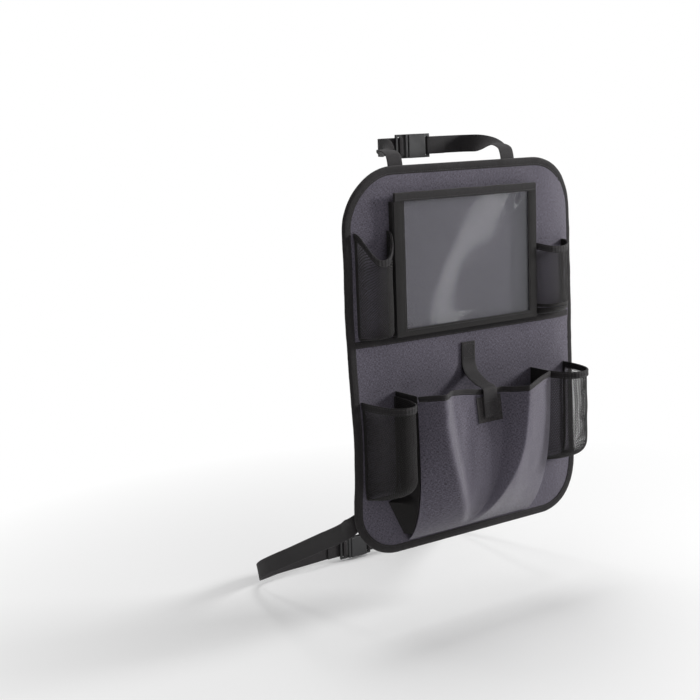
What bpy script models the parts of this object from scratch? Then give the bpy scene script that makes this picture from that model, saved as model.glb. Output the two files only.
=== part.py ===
"""Seat-back organizer: a sewn panel with pockets that hangs on the back of a car seat.

Metres, +Z up. The organizer stands upright, as it hangs: +X is to the right for a passenger who
looks at the pockets, and +Y points to the seat. The origin is the centre of the panel's flat rear
face. The panel and what is sewn to it are first made on a flat panel, and then follow its drape.
"""

import math

import bmesh
import bpy
from mathutils import Matrix, Vector

OBJECT_NAME = "seat_back_organizer"

# Fits
SEAM_GAP = 0.0003  # between two pieces that are sewn or laid on each other
WELD = 0.00001

# Panel
PANEL_WIDTH = 0.410
PANEL_HEIGHT = 0.532
PANEL_THICKNESS = 0.003
TOP_CORNER_RADIUS = 0.080
BOTTOM_CORNER_RADIUS = 0.068
FLAT_HALF_WIDTH = 0.140  # the panel's middle is flat, its margins follow the seat
RIGHT_WRAP = 0.014  # the right margin curves back by this at the top
LEFT_WRAP = 0.004
TOP_CURVE = 0.0315  # height below the top edge over which the panel curves back as well
BOTTOM_CURVE = 0.027
TOP_WRAP = 0.0025
BOTTOM_WRAP = 0.0010
BOTTLE_PULL = 0.010  # the loaded bottle pocket pulls the left margin forward
BOTTLE_PULL_REACH = 0.100
MARGIN_COLUMNS = 5
MIDDLE_COLUMNS = 4
CORNER_ROWS = 5
STRAIGHT_ROWS = 14

# Binding and tape
BINDING_WIDTH = 0.011
BINDING_FABRIC = 0.0009
TAPE_WIDTH = 0.009
TAPE_THICKNESS = 0.0012
TAPE_TOP_Z = 0.038

# Tablet pocket
TABLET_LEFT_MARGIN = 0.069  # from the panel's edge to the tablet pocket
TABLET_RIGHT_MARGIN = 0.086
TABLET_TOP_MARGIN = 0.032
TABLET_DEPTH = 0.0125  # from the panel's front face to the frame's front face
FRAME_LEFT_STRIP = 0.017
FRAME_RIGHT_STRIP = 0.015
FRAME_BOTTOM_BAND = 0.0105
FRAME_THICKNESS = 0.0012
TOP_BAND_HEIGHT = 0.012
TOP_BAND_FABRIC = 0.0009
WALL_FABRIC = 0.0010
WINDOW_OVERLAP = 0.004  # the film reaches this far behind the frame
WINDOW_FILM = 0.0005

# Mesh pockets
MESH_FABRIC = 0.0010
ELASTIC_HEIGHT = 0.010
ELASTIC_THICKNESS = 0.0014
POCKET_COLUMNS = 14

RIGHT_POCKET_INSET = 0.006  # from the binding to the two pockets on the right
UPPER_INNER_CLEARANCE = 0.004  # from the tablet pocket's wall to the mesh pocket beside it
UPPER_DEPTH = 0.026
UPPER_LEFT_RIM_Z = 0.184
UPPER_LEFT_RIM_SAG = 0.036
UPPER_RIGHT_RIM_Z = 0.146
UPPER_RIGHT_RIM_SAG = 0.006
UPPER_ROUNDING = 0.011  # height over which the pocket's bottom rounds out
UPPER_BASE_HEIGHT = 0.012

BOTTLE_INNER_CLEARANCE = 0.002  # from the centre pocket's side wall to the bottle pocket
BOTTLE_DEPTH = 0.071
BOTTLE_BOTTOM_Z = -0.183
BOTTLE_LEFT_RIM_Z = -0.044
BOTTLE_RIGHT_RIM_Z = -0.040
BOTTLE_ROUNDING = 0.036
BOTTLE_MIDDLE_Z = -0.110

# Centre pocket
CENTRE_LEFT_MARGIN = 0.071  # from the panel's edge to the centre pocket
CENTRE_RIGHT_MARGIN = 0.088
CENTRE_FOOT_INSET = 0.013  # the side walls lean in by this towards the bottom
CENTRE_RIM_Z = -0.039
CENTRE_RIM_DIP = 0.0095  # the tab pulls the rim down by this
CENTRE_DIP_X = 0.008
CENTRE_DIP_REACH = 0.050
CENTRE_RIM_LIFT = 0.004  # the left ridge holds the rim up by this
CENTRE_LIFT_REACH = 0.028
CENTRE_LEFT_DEPTH = 0.050
CENTRE_RIGHT_DEPTH = 0.040
CENTRE_RIDGE_DEPTH = 0.077
CENTRE_LEFT_RIDGE_X = -0.107
CENTRE_RIGHT_RIDGE_X = 0.034
CENTRE_RIDGE_FOOT_X = -0.029  # the two ridges run together here at the bottom seam
CENTRE_VALLEY = 0.037  # the tab pulls the cloth between the ridges in by this
VALLEY_SECTION = ((0.08, 0.22), (0.24, 0.85), (0.40, 1.0), (0.965, 1.0))
SHOULDER_WIDTH = 0.016  # the right ridge falls off slowly over this width
SHOULDER_FALL = 0.003
RIDGE_ROUNDING = 0.006
ROUNDING_STEPS = 3
CENTRE_COLUMNS = (4, 2, 4, 4, 9, 3, 2, 6)  # between the section's corners
CENTRE_FABRIC = 0.0012
CENTRE_RIM_HEIGHT = 0.008
CENTRE_RIM_THICKNESS = 0.0026
CENTRE_ROWS = 10
FAN_SLOPE = 0.40  # the left wall's seam on the panel slants outward under the bottle pocket
FAN_CLEARANCE = 0.002  # from the end of that slant up to the bottle pocket's bottom
FAN_FOLD = 0.008  # the wall folds back inward over this height
FAN_LIFT = 0.045  # the slanting seam edge starts off the panel by this share of the slant

# Closure of the centre pocket
TAB_X = -0.0035
TAB_WIDTH = 0.025
TAB_THICKNESS = 0.0013
TAB_TOP_Z = 0.015
TAB_LEAVES_PANEL_Z = -0.016
TAB_BEND = 0.012  # stretch over which the tab bends away from the panel and over the rim
TAB_END_Z = -0.086
PATCH_WIDTH = 0.044
PATCH_HEIGHT = 0.036
PATCH_THICKNESS = 0.0010
HOOK_WIDTH = 0.024
HOOK_HEIGHT = 0.026

# Webbing and buckles
WEBBING_WIDTH = 0.025
WEBBING_THICKNESS = 0.0013
SAMPLE_SPACING = 0.012
BAR_WIDTH = 0.0035
LADDER_SLOT = 0.0040
BUCKLE_WIDTH = 0.034
BUCKLE_THICKNESS = 0.011
COLLAR_LENGTH = 0.005
COLLAR_THICKNESS = 0.009
ARM_LENGTH = 0.0235
ARM_THICKNESS = 0.005
SOCKET_LENGTH = 0.030
CAVITY_DEPTH = 0.025
CAVITY_THICKNESS = 0.0065
SOCKET_BAR_DEPTH = 0.005
SOCKET_SLOT = 0.006
MOUTH_GAP = 0.0003
EDGE_ROUND = 0.0010

# Top straps, round the posts of the headrest
TOP_LEFT_ROOT_X = -0.116
TOP_RIGHT_ROOT_X = 0.084
ROOT_DEPTH = 0.030  # the webbing is sewn on this far below the top edge
SEAT_ABOVE_PANEL = 0.0245  # the seat's top, where the top straps turn back
POST_LEFT_X = -0.078
POST_RIGHT_X = 0.058
POST_Y = 0.068
TOP_RUN_Y = 0.095
TOP_BUCKLE_X = -0.047

# Lower straps, round the backrest into the crease of the seat
LOWER_ROOT_INSET = 0.040  # the webbing is sewn on this far inside the side edge
LOWER_EDGE_RISE = 0.048  # the lower straps leave the side edges this far above the bottom
CREASE_Y = 0.300
CREASE_Z = -0.371
LOWER_BUCKLE_X = -0.035

MATERIALS = {
    "heather_fabric": ((0.100, 0.094, 0.122), 0.92, 0.0, 1.0),
    "black_fabric": ((0.018, 0.015, 0.017), 0.85, 0.0, 1.0),
    "black_mesh": ((0.012, 0.011, 0.012), 0.80, 0.0, 1.0),
    "black_webbing": ((0.020, 0.018, 0.020), 0.75, 0.0, 1.0),
    "clear_film": ((0.90, 0.92, 0.94), 0.08, 0.0, 0.25),
    "black_plastic": ((0.015, 0.015, 0.016), 0.35, 0.0, 1.0),
}


def clear_scene():
    for item in list(bpy.data.objects):
        bpy.data.objects.remove(item, do_unlink=True)


def make_collection(name):
    collection = bpy.data.collections.new(name)
    bpy.context.scene.collection.children.link(collection)
    return collection


def make_material(name, colour, roughness, metallic, alpha):
    material = bpy.data.materials.new(name)
    material.use_nodes = True
    shader = material.node_tree.nodes["Principled BSDF"]
    shader.inputs["Base Color"].default_value = (*colour, 1.0)
    shader.inputs["Roughness"].default_value = roughness
    shader.inputs["Metallic"].default_value = metallic
    shader.inputs["Alpha"].default_value = alpha
    return material


clear_scene()
PARTS = make_collection(OBJECT_NAME)
CUTTERS = make_collection("cutters")
FINISH = {name: make_material(name, *values) for name, values in MATERIALS.items()}


def add_object(name, mesh, finish):
    item = bpy.data.objects.new(name, mesh)
    item.data.materials.clear()
    item.data.materials.append(FINISH[finish])
    PARTS.objects.link(item)
    return item


def apply_modifiers(item):
    """Turns an object's evaluated shape into its mesh."""
    graph = bpy.context.evaluated_depsgraph_get()
    mesh = bpy.data.meshes.new_from_object(item.evaluated_get(graph))
    item.modifiers.clear()
    item.data = mesh


def shade(item, angle=40):
    item.data.shade_smooth()
    item.data.set_sharp_from_angle(angle=math.radians(angle))


def blend(start, end, share):
    return start + (end - start) * share


def bump(value, middle, reach):
    """1 at the middle, falling smoothly to 0 on both sides."""
    return math.exp(-(((value - middle) / reach) ** 2))


# The panel's outline and drape


def panel_half_width(z):
    """Half of the panel's width at a height, with its round corners."""
    radius = TOP_CORNER_RADIUS if z > 0 else BOTTOM_CORNER_RADIUS
    into_corner = max(0.0, abs(z) - (PANEL_HEIGHT / 2 - radius))
    return PANEL_WIDTH / 2 - radius + math.sqrt(max(0.0, radius**2 - into_corner**2))


def panel_levels():
    """Heights of the panel's rows, closer together in its round corners."""
    bottom, top = -PANEL_HEIGHT / 2, PANEL_HEIGHT / 2
    turn = [math.pi / 2 * k / CORNER_ROWS for k in range(CORNER_ROWS)]
    low = [bottom + BOTTOM_CORNER_RADIUS * (1 - math.sin(math.pi / 2 - a)) for a in turn]
    low.append(bottom + BOTTOM_CORNER_RADIUS)
    high = [top - TOP_CORNER_RADIUS * (1 - math.sin(math.pi / 2 - a)) for a in turn]
    high.append(top - TOP_CORNER_RADIUS)
    straight = [blend(low[-1], high[-1], k / STRAIGHT_ROWS) for k in range(1, STRAIGHT_ROWS)]
    return low + straight + high[::-1]


def margin_spread():
    """Places across the panel from -1 to 1, closer together in its curved margins."""
    start = FLAT_HALF_WIDTH / (PANEL_WIDTH / 2)
    margin = [blend(1, start, k / MARGIN_COLUMNS) for k in range(MARGIN_COLUMNS)]
    middle = [blend(-start, start, k / MIDDLE_COLUMNS) for k in range(MIDDLE_COLUMNS + 1)]
    return [-place for place in margin] + middle + margin[::-1]


def drape(x, z):
    """How far the panel lies behind its flat middle at a point."""
    reach = max(0.0, abs(x) - FLAT_HALF_WIDTH) / (PANEL_WIDTH / 2 - FLAT_HALF_WIDTH)
    if x > 0:
        wrap = RIGHT_WRAP * (0.6 + 0.4 * z / (PANEL_HEIGHT / 2))
    else:
        wrap = LEFT_WRAP - BOTTLE_PULL * bump(z, BOTTLE_MIDDLE_Z, BOTTLE_PULL_REACH)
    above = max(0.0, z - PANEL_HEIGHT / 2 + TOP_CURVE) / TOP_CURVE
    below = max(0.0, -z - PANEL_HEIGHT / 2 + BOTTOM_CURVE) / BOTTOM_CURVE
    return wrap * reach**2 + TOP_WRAP * above**2 + BOTTOM_WRAP * below**2


def follow_drape(item):
    """Moves a piece made on a flat panel onto the draped one."""
    apply_modifiers(item)
    for vertex in item.data.vertices:
        vertex.co.y += drape(vertex.co.x, vertex.co.z)


def in_front(depth):
    """The y of a point this far in front of the flat panel's front face."""
    return -PANEL_THICKNESS - depth


def sheet(name, point, columns, rows, thickness, finish, offset=-1.0, closed=False, draped=True):
    """A cloth piece: a grid whose points a function places, given thickness.

    The columns run to the right and the rows up, so the grid's outer side faces the viewer.
    """
    grid = bmesh.new()
    bmesh.ops.create_grid(grid, x_segments=columns, y_segments=rows, size=0.5)
    for vertex in grid.verts:
        column = round((vertex.co.x + 0.5) * columns)
        row = round((vertex.co.y + 0.5) * rows)
        vertex.co = point(column, row)
    if closed:
        bmesh.ops.remove_doubles(grid, verts=grid.verts, dist=WELD)
    mesh = bpy.data.meshes.new(name)
    grid.to_mesh(mesh)
    grid.free()
    item = add_object(name, mesh, finish)
    solidify = item.modifiers.new("fabric", "SOLIDIFY")
    solidify.thickness = thickness
    solidify.offset = offset
    solidify.use_even_offset = True
    if draped:
        follow_drape(item)
    shade(item)
    return item


# Panel, binding and tape


def back_panel():
    levels = panel_levels()
    spread = margin_spread()

    def point(column, row):
        z = levels[row]
        return Vector((spread[column] * panel_half_width(z), in_front(0), z))

    sheet(
        "back_panel", point, len(spread) - 1, len(levels) - 1, PANEL_THICKNESS, "heather_fabric",
    )


BINDING_STANDS = 1.5 * (SEAM_GAP + BINDING_FABRIC)  # the fold's height over the panel's faces


def outline_points():
    """The panel's outline as (x, z), up the left side and round."""
    levels = panel_levels()
    left = [(-panel_half_width(z), z) for z in levels]
    right = [(-x, z) for x, z in reversed(left)]
    return left + right


def outward(points, index):
    """The outward direction at a corner of a closed outline, scaled so that edges stay parallel."""
    before = Vector(points[index - 1])
    here = Vector(points[index])
    after = Vector(points[(index + 1) % len(points)])
    first = (here - before).normalized()
    second = (after - here).normalized()
    normal_a = Vector((-first.y, first.x))
    normal_b = Vector((-second.y, second.x))
    miter = (normal_a + normal_b).normalized()
    return miter / max(0.5, miter.dot(normal_a))


def edge_binding():
    points = outline_points()
    flange = PANEL_THICKNESS / 2 + 2 * SEAM_GAP + BINDING_FABRIC
    fold = PANEL_THICKNESS / 2 + BINDING_STANDS
    section = [(-BINDING_WIDTH, -flange), (0, -fold), (fold, 0), (0, fold), (-BINDING_WIDTH, flange)]

    def point(column, row):
        index = column % len(points)
        across, y = section[row]
        place = Vector(points[index]) + across * outward(points, index)
        return Vector((place.x, y - PANEL_THICKNESS / 2, place.y))

    sheet(
        "edge_binding", point, len(points), len(section) - 1, BINDING_FABRIC, "black_fabric",
        closed=True,
    )


def cross_seam_tape():
    half = PANEL_WIDTH / 2 - BINDING_WIDTH - SEAM_GAP
    y = in_front(SEAM_GAP + TAPE_THICKNESS)
    spread = margin_spread()

    def point(column, row):
        return Vector((spread[column] * half, y, TAPE_TOP_Z - TAPE_WIDTH * (1 - row)))

    sheet("cross_seam_tape", point, len(spread) - 1, 1, TAPE_THICKNESS, "black_fabric")


# Tablet pocket

TABLET_LEFT_X = -PANEL_WIDTH / 2 + TABLET_LEFT_MARGIN
TABLET_RIGHT_X = PANEL_WIDTH / 2 - TABLET_RIGHT_MARGIN
TABLET_TOP_Z = PANEL_HEIGHT / 2 - TABLET_TOP_MARGIN
TABLET_BOTTOM_Z = TAPE_TOP_Z + SEAM_GAP
WINDOW_LEFT_X = TABLET_LEFT_X + FRAME_LEFT_STRIP
WINDOW_RIGHT_X = TABLET_RIGHT_X - FRAME_RIGHT_STRIP
WINDOW_BOTTOM_Z = TABLET_BOTTOM_Z + FRAME_BOTTOM_BAND
WINDOW_TOP_Z = TABLET_TOP_Z - TOP_BAND_HEIGHT - SEAM_GAP
FRAME_BACK = TABLET_DEPTH - FRAME_THICKNESS


def rectangle(left, right, bottom, top):
    return [(left, bottom), (right, bottom), (right, top), (left, top)]


def flat_outline(name, outlines, thickness, middle_y, finish):
    """A flat piece from closed outlines in (x, z); the second and later ones are holes."""
    curve = bpy.data.curves.new(name, "CURVE")
    curve.dimensions = "2D"
    curve.fill_mode = "BOTH"
    curve.extrude = thickness / 2
    for outline in outlines:
        spline = curve.splines.new("POLY")
        spline.points.add(len(outline) - 1)
        spline.use_cyclic_u = True
        for spot, (x, z) in zip(spline.points, outline):
            spot.co = (x, z, 0.0, 1.0)
    item = add_object(name, curve, finish)
    item.location.y = middle_y
    item.rotation_euler.x = math.pi / 2
    return item


def curve_to_mesh(item):
    """Replaces a filled curve by a closed mesh at the same place."""
    bpy.context.view_layer.update()
    graph = bpy.context.evaluated_depsgraph_get()
    mesh = bpy.data.meshes.new_from_object(item.evaluated_get(graph))
    mesh.transform(item.matrix_world)
    name = item.name
    curve = item.data
    bpy.data.objects.remove(item)
    bpy.data.curves.remove(curve)
    shape = bmesh.new()
    shape.from_mesh(mesh)
    bmesh.ops.remove_doubles(shape, verts=shape.verts, dist=WELD)
    bmesh.ops.recalc_face_normals(shape, faces=shape.faces)
    shape.to_mesh(mesh)
    shape.free()
    return name, mesh


def tablet_pocket_frame():
    top = TABLET_TOP_Z - TOP_BAND_FABRIC - SEAM_GAP
    outer = rectangle(TABLET_LEFT_X, TABLET_RIGHT_X, TABLET_BOTTOM_Z, top)
    hole = rectangle(WINDOW_LEFT_X, WINDOW_RIGHT_X, WINDOW_BOTTOM_Z, WINDOW_TOP_Z)
    middle = in_front(TABLET_DEPTH - FRAME_THICKNESS / 2)
    curve = flat_outline("frame_outline", [outer, hole], FRAME_THICKNESS, middle, "black_fabric")
    mesh = curve_to_mesh(curve)[1]
    add_object("tablet_pocket_frame", mesh, "black_fabric")


def tablet_pocket_wall():
    """The wall round the pocket's sides and bottom, between the panel and the frame."""
    corners = [
        (TABLET_LEFT_X, TABLET_TOP_Z - TOP_BAND_HEIGHT),
        (TABLET_LEFT_X, TABLET_BOTTOM_Z),
        (TABLET_RIGHT_X, TABLET_BOTTOM_Z),
        (TABLET_RIGHT_X, TABLET_TOP_Z - TOP_BAND_HEIGHT),
    ]
    front = in_front(FRAME_BACK - SEAM_GAP)
    back = in_front(SEAM_GAP)

    def point(column, row):
        x, z = corners[column]
        return Vector((x, blend(back, front, row), z))

    sheet("tablet_pocket_wall", point, len(corners) - 1, 1, WALL_FABRIC, "black_fabric")


def tablet_pocket_top_band():
    """The band folded over the frame's top edge, along the pocket's mouth."""
    fabric = TOP_BAND_FABRIC
    low = TABLET_TOP_Z - TOP_BAND_HEIGHT
    front = in_front(TABLET_DEPTH + SEAM_GAP + fabric)
    back = in_front(FRAME_BACK - SEAM_GAP - WINDOW_FILM - SEAM_GAP - fabric)
    section = [(front, low), (front, TABLET_TOP_Z), (back, TABLET_TOP_Z), (back, low)]
    left = TABLET_LEFT_X + WALL_FABRIC + SEAM_GAP
    right = TABLET_RIGHT_X - WALL_FABRIC - SEAM_GAP

    def point(column, row):
        y, z = section[row]
        return Vector((blend(left, right, column / 8), y, z))

    sheet("tablet_pocket_top_band", point, 8, len(section) - 1, fabric, "black_fabric")


def tablet_window():
    front = in_front(FRAME_BACK - SEAM_GAP)
    left = WINDOW_LEFT_X - WINDOW_OVERLAP
    right = WINDOW_RIGHT_X + WINDOW_OVERLAP
    bottom = WINDOW_BOTTOM_Z - WINDOW_OVERLAP
    top = TABLET_TOP_Z - TOP_BAND_FABRIC - SEAM_GAP

    def point(column, row):
        return Vector((blend(left, right, column / 2), front, blend(bottom, top, row / 2)))

    sheet("tablet_window", point, 2, 2, WINDOW_FILM, "clear_film")


# Mesh pockets


def power(value, exponent):
    return math.copysign(abs(value) ** exponent, value)


class MeshPocket:
    """A bulged pocket whose plan section is a round-cornered U on the panel."""

    def __init__(self, left, right, depth, bottom, rim, sag, rounding, squareness):
        self.middle = (left + right) / 2
        self.half = (right - left) / 2
        self.depth = depth
        self.bottom = bottom
        self.rim = rim
        self.sag = sag
        self.rounding = rounding
        self.squareness = squareness

    def rim_height(self, share):
        return self.rim - self.sag * math.sin(math.pi * share) ** 2

    def point(self, share, z, swell=0.0):
        """A point of the pocket's outer side; swell moves it outward."""
        angle = math.pi * (1 - share)
        rise = min(1.0, max(0.0, (z - self.bottom) / self.rounding))
        fullness = (1 - (1 - rise) ** 2) ** 0.6
        half = (self.half + swell) * (0.86 + 0.14 * fullness)
        x = self.middle + half * power(math.cos(angle), 2 / self.squareness)
        reach = (self.depth - 2 * MESH_FABRIC) * fullness + 2 * MESH_FABRIC + swell
        depth = SEAM_GAP + reach * power(math.sin(angle), 2 / self.squareness)
        return Vector((x, in_front(depth), z))

    def wall(self, name, rows, finish, low=None, high=None):
        """The pocket's cloth, from its bottom or a height to its rim or a height."""
        start = self.bottom if low is None else low

        def point(column, row):
            share = column / POCKET_COLUMNS
            top = self.rim_height(share) - SEAM_GAP if high is None else high
            return self.point(share, blend(start, top, (row / rows) ** 1.5))

        sheet(name, point, POCKET_COLUMNS, rows, MESH_FABRIC, finish)

    def band(self, name):
        """The elastic band round the outside of the rim."""
        swell = SEAM_GAP + ELASTIC_THICKNESS

        def point(column, row):
            share = column / POCKET_COLUMNS
            z = self.rim_height(share) - ELASTIC_HEIGHT * (1 - row)
            return self.point(share, z, swell)

        sheet(name, point, POCKET_COLUMNS, 1, ELASTIC_THICKNESS, "black_webbing")


def side_pockets():
    edge = PANEL_WIDTH / 2 - BINDING_WIDTH - ELASTIC_THICKNESS - 5 * SEAM_GAP
    right_edge = edge - RIGHT_POCKET_INSET
    centre_left, centre_right = centre_edges(1.0)
    upper_bottom = TAPE_TOP_Z + SEAM_GAP
    upper_left = MeshPocket(
        -edge, TABLET_LEFT_X - UPPER_INNER_CLEARANCE, UPPER_DEPTH, upper_bottom,
        UPPER_LEFT_RIM_Z, UPPER_LEFT_RIM_SAG, UPPER_ROUNDING, 2.3,
    )
    upper_right = MeshPocket(
        TABLET_RIGHT_X + UPPER_INNER_CLEARANCE, right_edge, UPPER_DEPTH, upper_bottom,
        UPPER_RIGHT_RIM_Z, UPPER_RIGHT_RIM_SAG, UPPER_ROUNDING, 2.3,
    )
    bottle_left = MeshPocket(
        -edge, centre_left - BOTTLE_INNER_CLEARANCE, BOTTLE_DEPTH, BOTTLE_BOTTOM_Z,
        BOTTLE_LEFT_RIM_Z, 0.0, BOTTLE_ROUNDING, 2.5,
    )
    bottle_right = MeshPocket(
        centre_right + BOTTLE_INNER_CLEARANCE, right_edge, BOTTLE_DEPTH, BOTTLE_BOTTOM_Z,
        BOTTLE_RIGHT_RIM_Z, 0.0, BOTTLE_ROUNDING, 2.5,
    )
    upper_left.wall("upper_left_pocket_mesh", 8, "black_mesh")
    upper_left.band("upper_left_pocket_rim")
    base_top = upper_bottom + UPPER_BASE_HEIGHT
    upper_right.wall("upper_right_pocket_base", 3, "black_fabric", high=base_top)
    upper_right.wall("upper_right_pocket_mesh", 4, "black_mesh", low=base_top + 3 * SEAM_GAP)
    upper_right.band("upper_right_pocket_rim")
    bottle_left.wall("left_bottle_pocket_mesh", 9, "black_mesh")
    bottle_left.band("left_bottle_pocket_rim")
    bottle_right.wall("right_bottle_pocket_mesh", 9, "black_mesh")
    bottle_right.band("right_bottle_pocket_rim")


# Centre pocket

CENTRE_BOTTOM_Z = -PANEL_HEIGHT / 2 + BINDING_WIDTH + SEAM_GAP


def centre_rise(share):
    """How full the pocket is at a share of its height: it opens quickly above its bottom seam."""
    return (1 - (1 - share) ** 4) ** 0.8


def centre_edges(share):
    """The left and right edge of the pocket's front at a share of its height."""
    inset = CENTRE_FOOT_INSET * (1 - share) ** 2
    left = -PANEL_WIDTH / 2 + CENTRE_LEFT_MARGIN
    right = PANEL_WIDTH / 2 - CENTRE_RIGHT_MARGIN
    return left + inset, right - inset


def centre_section(share):
    """Corners of the front's plan section, as (x, depth): two ridges with a valley between them."""
    left, right = centre_edges(share)
    sink = (1 - share) ** 2
    first = blend(CENTRE_LEFT_RIDGE_X, CENTRE_RIDGE_FOOT_X, sink)
    second = blend(CENTRE_RIGHT_RIDGE_X, CENTRE_RIDGE_FOOT_X, sink)
    valley = CENTRE_VALLEY * share**0.7
    corners = [(left, CENTRE_LEFT_DEPTH), (first, CENTRE_RIDGE_DEPTH)]
    for along, deep in VALLEY_SECTION:
        corners.append((blend(first, second, along), CENTRE_RIDGE_DEPTH - valley * deep))
    corners.append((second, CENTRE_RIDGE_DEPTH))
    corners.append((second + SHOULDER_WIDTH, CENTRE_RIDGE_DEPTH - SHOULDER_FALL))
    corners.append((right, CENTRE_RIGHT_DEPTH))
    return corners


def line_at(corners, x):
    """The height of a line through corners at x; its end stretches go on beyond their ends."""
    index = 0
    while index < len(corners) - 2 and corners[index + 1][0] < x:
        index += 1
    (x_a, depth_a), (x_b, depth_b) = corners[index], corners[index + 1]
    return blend(depth_a, depth_b, (x - x_a) / max(x_b - x_a, WELD))


def centre_depth(x, share):
    """Depth of the pocket's front, with its ridges rounded."""
    corners = centre_section(share)
    steps = range(-ROUNDING_STEPS, ROUNDING_STEPS + 1)
    total = sum(line_at(corners, x + RIDGE_ROUNDING * k / ROUNDING_STEPS) for k in steps)
    return SEAM_GAP + CENTRE_FABRIC + total / len(steps) * centre_rise(share)


def centre_rim_height(x):
    dip = CENTRE_RIM_DIP * bump(x, CENTRE_DIP_X, CENTRE_DIP_REACH)
    lift = CENTRE_RIM_LIFT * bump(x, CENTRE_LEFT_RIDGE_X, CENTRE_LIFT_REACH)
    return CENTRE_RIM_Z - dip + lift


def centre_front_top(x):
    return centre_rim_height(x) - CENTRE_RIM_HEIGHT - SEAM_GAP


def centre_x(column, share):
    """Where a column of the front's grid stands; the columns follow the ridges."""
    corners = centre_section(share)
    for index, steps in enumerate(CENTRE_COLUMNS):
        if column <= steps:
            return blend(corners[index][0], corners[index + 1][0], column / steps)
        column -= steps


def centre_pocket_front():
    def point(column, row):
        share = (row / CENTRE_ROWS) ** 1.4
        x = centre_x(column, share)
        z = blend(CENTRE_BOTTOM_Z, centre_front_top(centre_x(column, 1.0)), share)
        return Vector((x, in_front(centre_depth(x, share)), z))

    sheet(
        "centre_pocket_front", point, sum(CENTRE_COLUMNS), CENTRE_ROWS, CENTRE_FABRIC,
        "heather_fabric", draped=False,
    )


def centre_pocket_rim():
    swell = (CENTRE_RIM_THICKNESS - CENTRE_FABRIC) / 2

    def point(column, row):
        x = centre_x(column, 1.0)
        z = centre_rim_height(x) - CENTRE_RIM_HEIGHT * (1 - row)
        return Vector((x, in_front(centre_depth(x, 1.0) + swell), z))

    sheet(
        "centre_pocket_rim", point, sum(CENTRE_COLUMNS), 1, CENTRE_RIM_THICKNESS, "black_fabric",
        draped=False,
    )


FAN_END_Z = BOTTLE_BOTTOM_Z - FAN_CLEARANCE
FAN_TOP_Z = FAN_END_Z - FAN_FOLD


def fan_spread(z):
    """How far the left wall's seam lies outside the pocket's edge at a height."""
    widest = FAN_SLOPE * (FAN_TOP_Z - CENTRE_BOTTOM_Z)
    if z < FAN_TOP_Z:
        return FAN_SLOPE * (z - CENTRE_BOTTOM_Z)
    return widest * max(0.0, (FAN_END_Z - z) / FAN_FOLD)


def centre_wall(name, side, fans):
    """A side wall of the centre pocket, from its seam on the panel to the front's edge."""
    rim = centre_rim_height(centre_edges(1.0)[side])
    lowest = blend(CENTRE_BOTTOM_Z, rim, 0.05)
    heights = [blend(lowest, FAN_TOP_Z, k / 5) for k in range(6)]
    heights += [blend(FAN_END_Z, rim, k / 6) for k in range(7)]
    columns = 5

    def point(column, row):
        z = heights[row]
        share = (z - CENTRE_BOTTOM_Z) / (rim - CENTRE_BOTTOM_Z)
        front_x = centre_edges(share)[side]
        spread = fan_spread(z) if fans else 0.0
        foot = SEAM_GAP + FAN_LIFT * spread
        reach = column / columns if side else 1 - column / columns
        front = centre_depth(front_x, share) - CENTRE_FABRIC - 5 * SEAM_GAP
        depth = blend(foot, front, 1 - reach)
        return Vector((front_x - spread * reach**1.5, in_front(depth), z))

    sheet(name, point, columns, len(heights) - 1, WALL_FABRIC, "black_fabric", draped=False)


# Closure tab and its patches


def front_depth_at(x, z):
    """Depth of the front's outer side at a place."""
    share = (z - CENTRE_BOTTOM_Z) / (centre_front_top(x) - CENTRE_BOTTOM_Z)
    return centre_depth(x, min(1.0, share))


PATCH_TOP_Z = CENTRE_RIM_Z - CENTRE_RIM_DIP - CENTRE_RIM_HEIGHT - 0.001


def patch(name, width, height, layer, thickness):
    """A patch that follows the pocket's front, this far out from it."""
    columns, rows = 4, 3

    def point(column, row):
        x = TAB_X + width * (column / columns - 0.5)
        z = PATCH_TOP_Z - height * (1 - row / rows)
        return Vector((x, in_front(front_depth_at(x, z) + layer + thickness), z))

    sheet(name, point, columns, rows, thickness, "black_fabric", draped=False)


def closure_patches():
    clearance = 3 * SEAM_GAP
    patch("closure_loop_patch", PATCH_WIDTH, PATCH_HEIGHT, clearance, PATCH_THICKNESS)
    second = clearance + PATCH_THICKNESS + clearance
    patch("closure_hook_patch", HOOK_WIDTH, HOOK_HEIGHT, second, PATCH_THICKNESS)


def closure_tab():
    half = TAB_THICKNESS / 2
    on_panel = SEAM_GAP + half
    over_patches = 9 * SEAM_GAP + 2 * PATCH_THICKNESS + half
    rim_top = CENTRE_RIM_Z - CENTRE_RIM_DIP
    at_rim = front_depth_at(TAB_X + TAB_WIDTH / 2, rim_top)
    lip = CENTRE_RIM_THICKNESS / 2 + 3 * SEAM_GAP + half
    points = [
        (on_panel, TAB_TOP_Z),
        (on_panel, TAB_LEAVES_PANEL_Z + TAB_BEND * 2 / 3),
        (on_panel + TAB_BEND / 30, TAB_LEAVES_PANEL_Z),
        (on_panel + TAB_BEND / 2, TAB_LEAVES_PANEL_Z - TAB_BEND),
        (blend(on_panel, at_rim, 0.45), rim_top + TAB_BEND),
        (at_rim - TAB_BEND * 2 / 3, rim_top + TAB_BEND / 2),
        (at_rim, rim_top + TAB_BEND * 3 / 8),
        (at_rim + lip + TAB_BEND / 6, rim_top + TAB_BEND / 12),
        (at_rim + lip + TAB_BEND / 4, rim_top - CENTRE_RIM_HEIGHT),
    ]
    steps = 3
    for step in range(steps + 1):
        z = blend(PATCH_TOP_Z - TAB_BEND / 3, TAB_END_Z, step / steps)
        points.append((front_depth_at(TAB_X + TAB_WIDTH / 2, z) + over_patches, z))
    stations = [(Vector((TAB_X, in_front(depth), z)), Vector((1, 0, 0))) for depth, z in points]
    strap("closure_tab", stations, TAB_WIDTH, TAB_THICKNESS)


# Webbing

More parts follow.
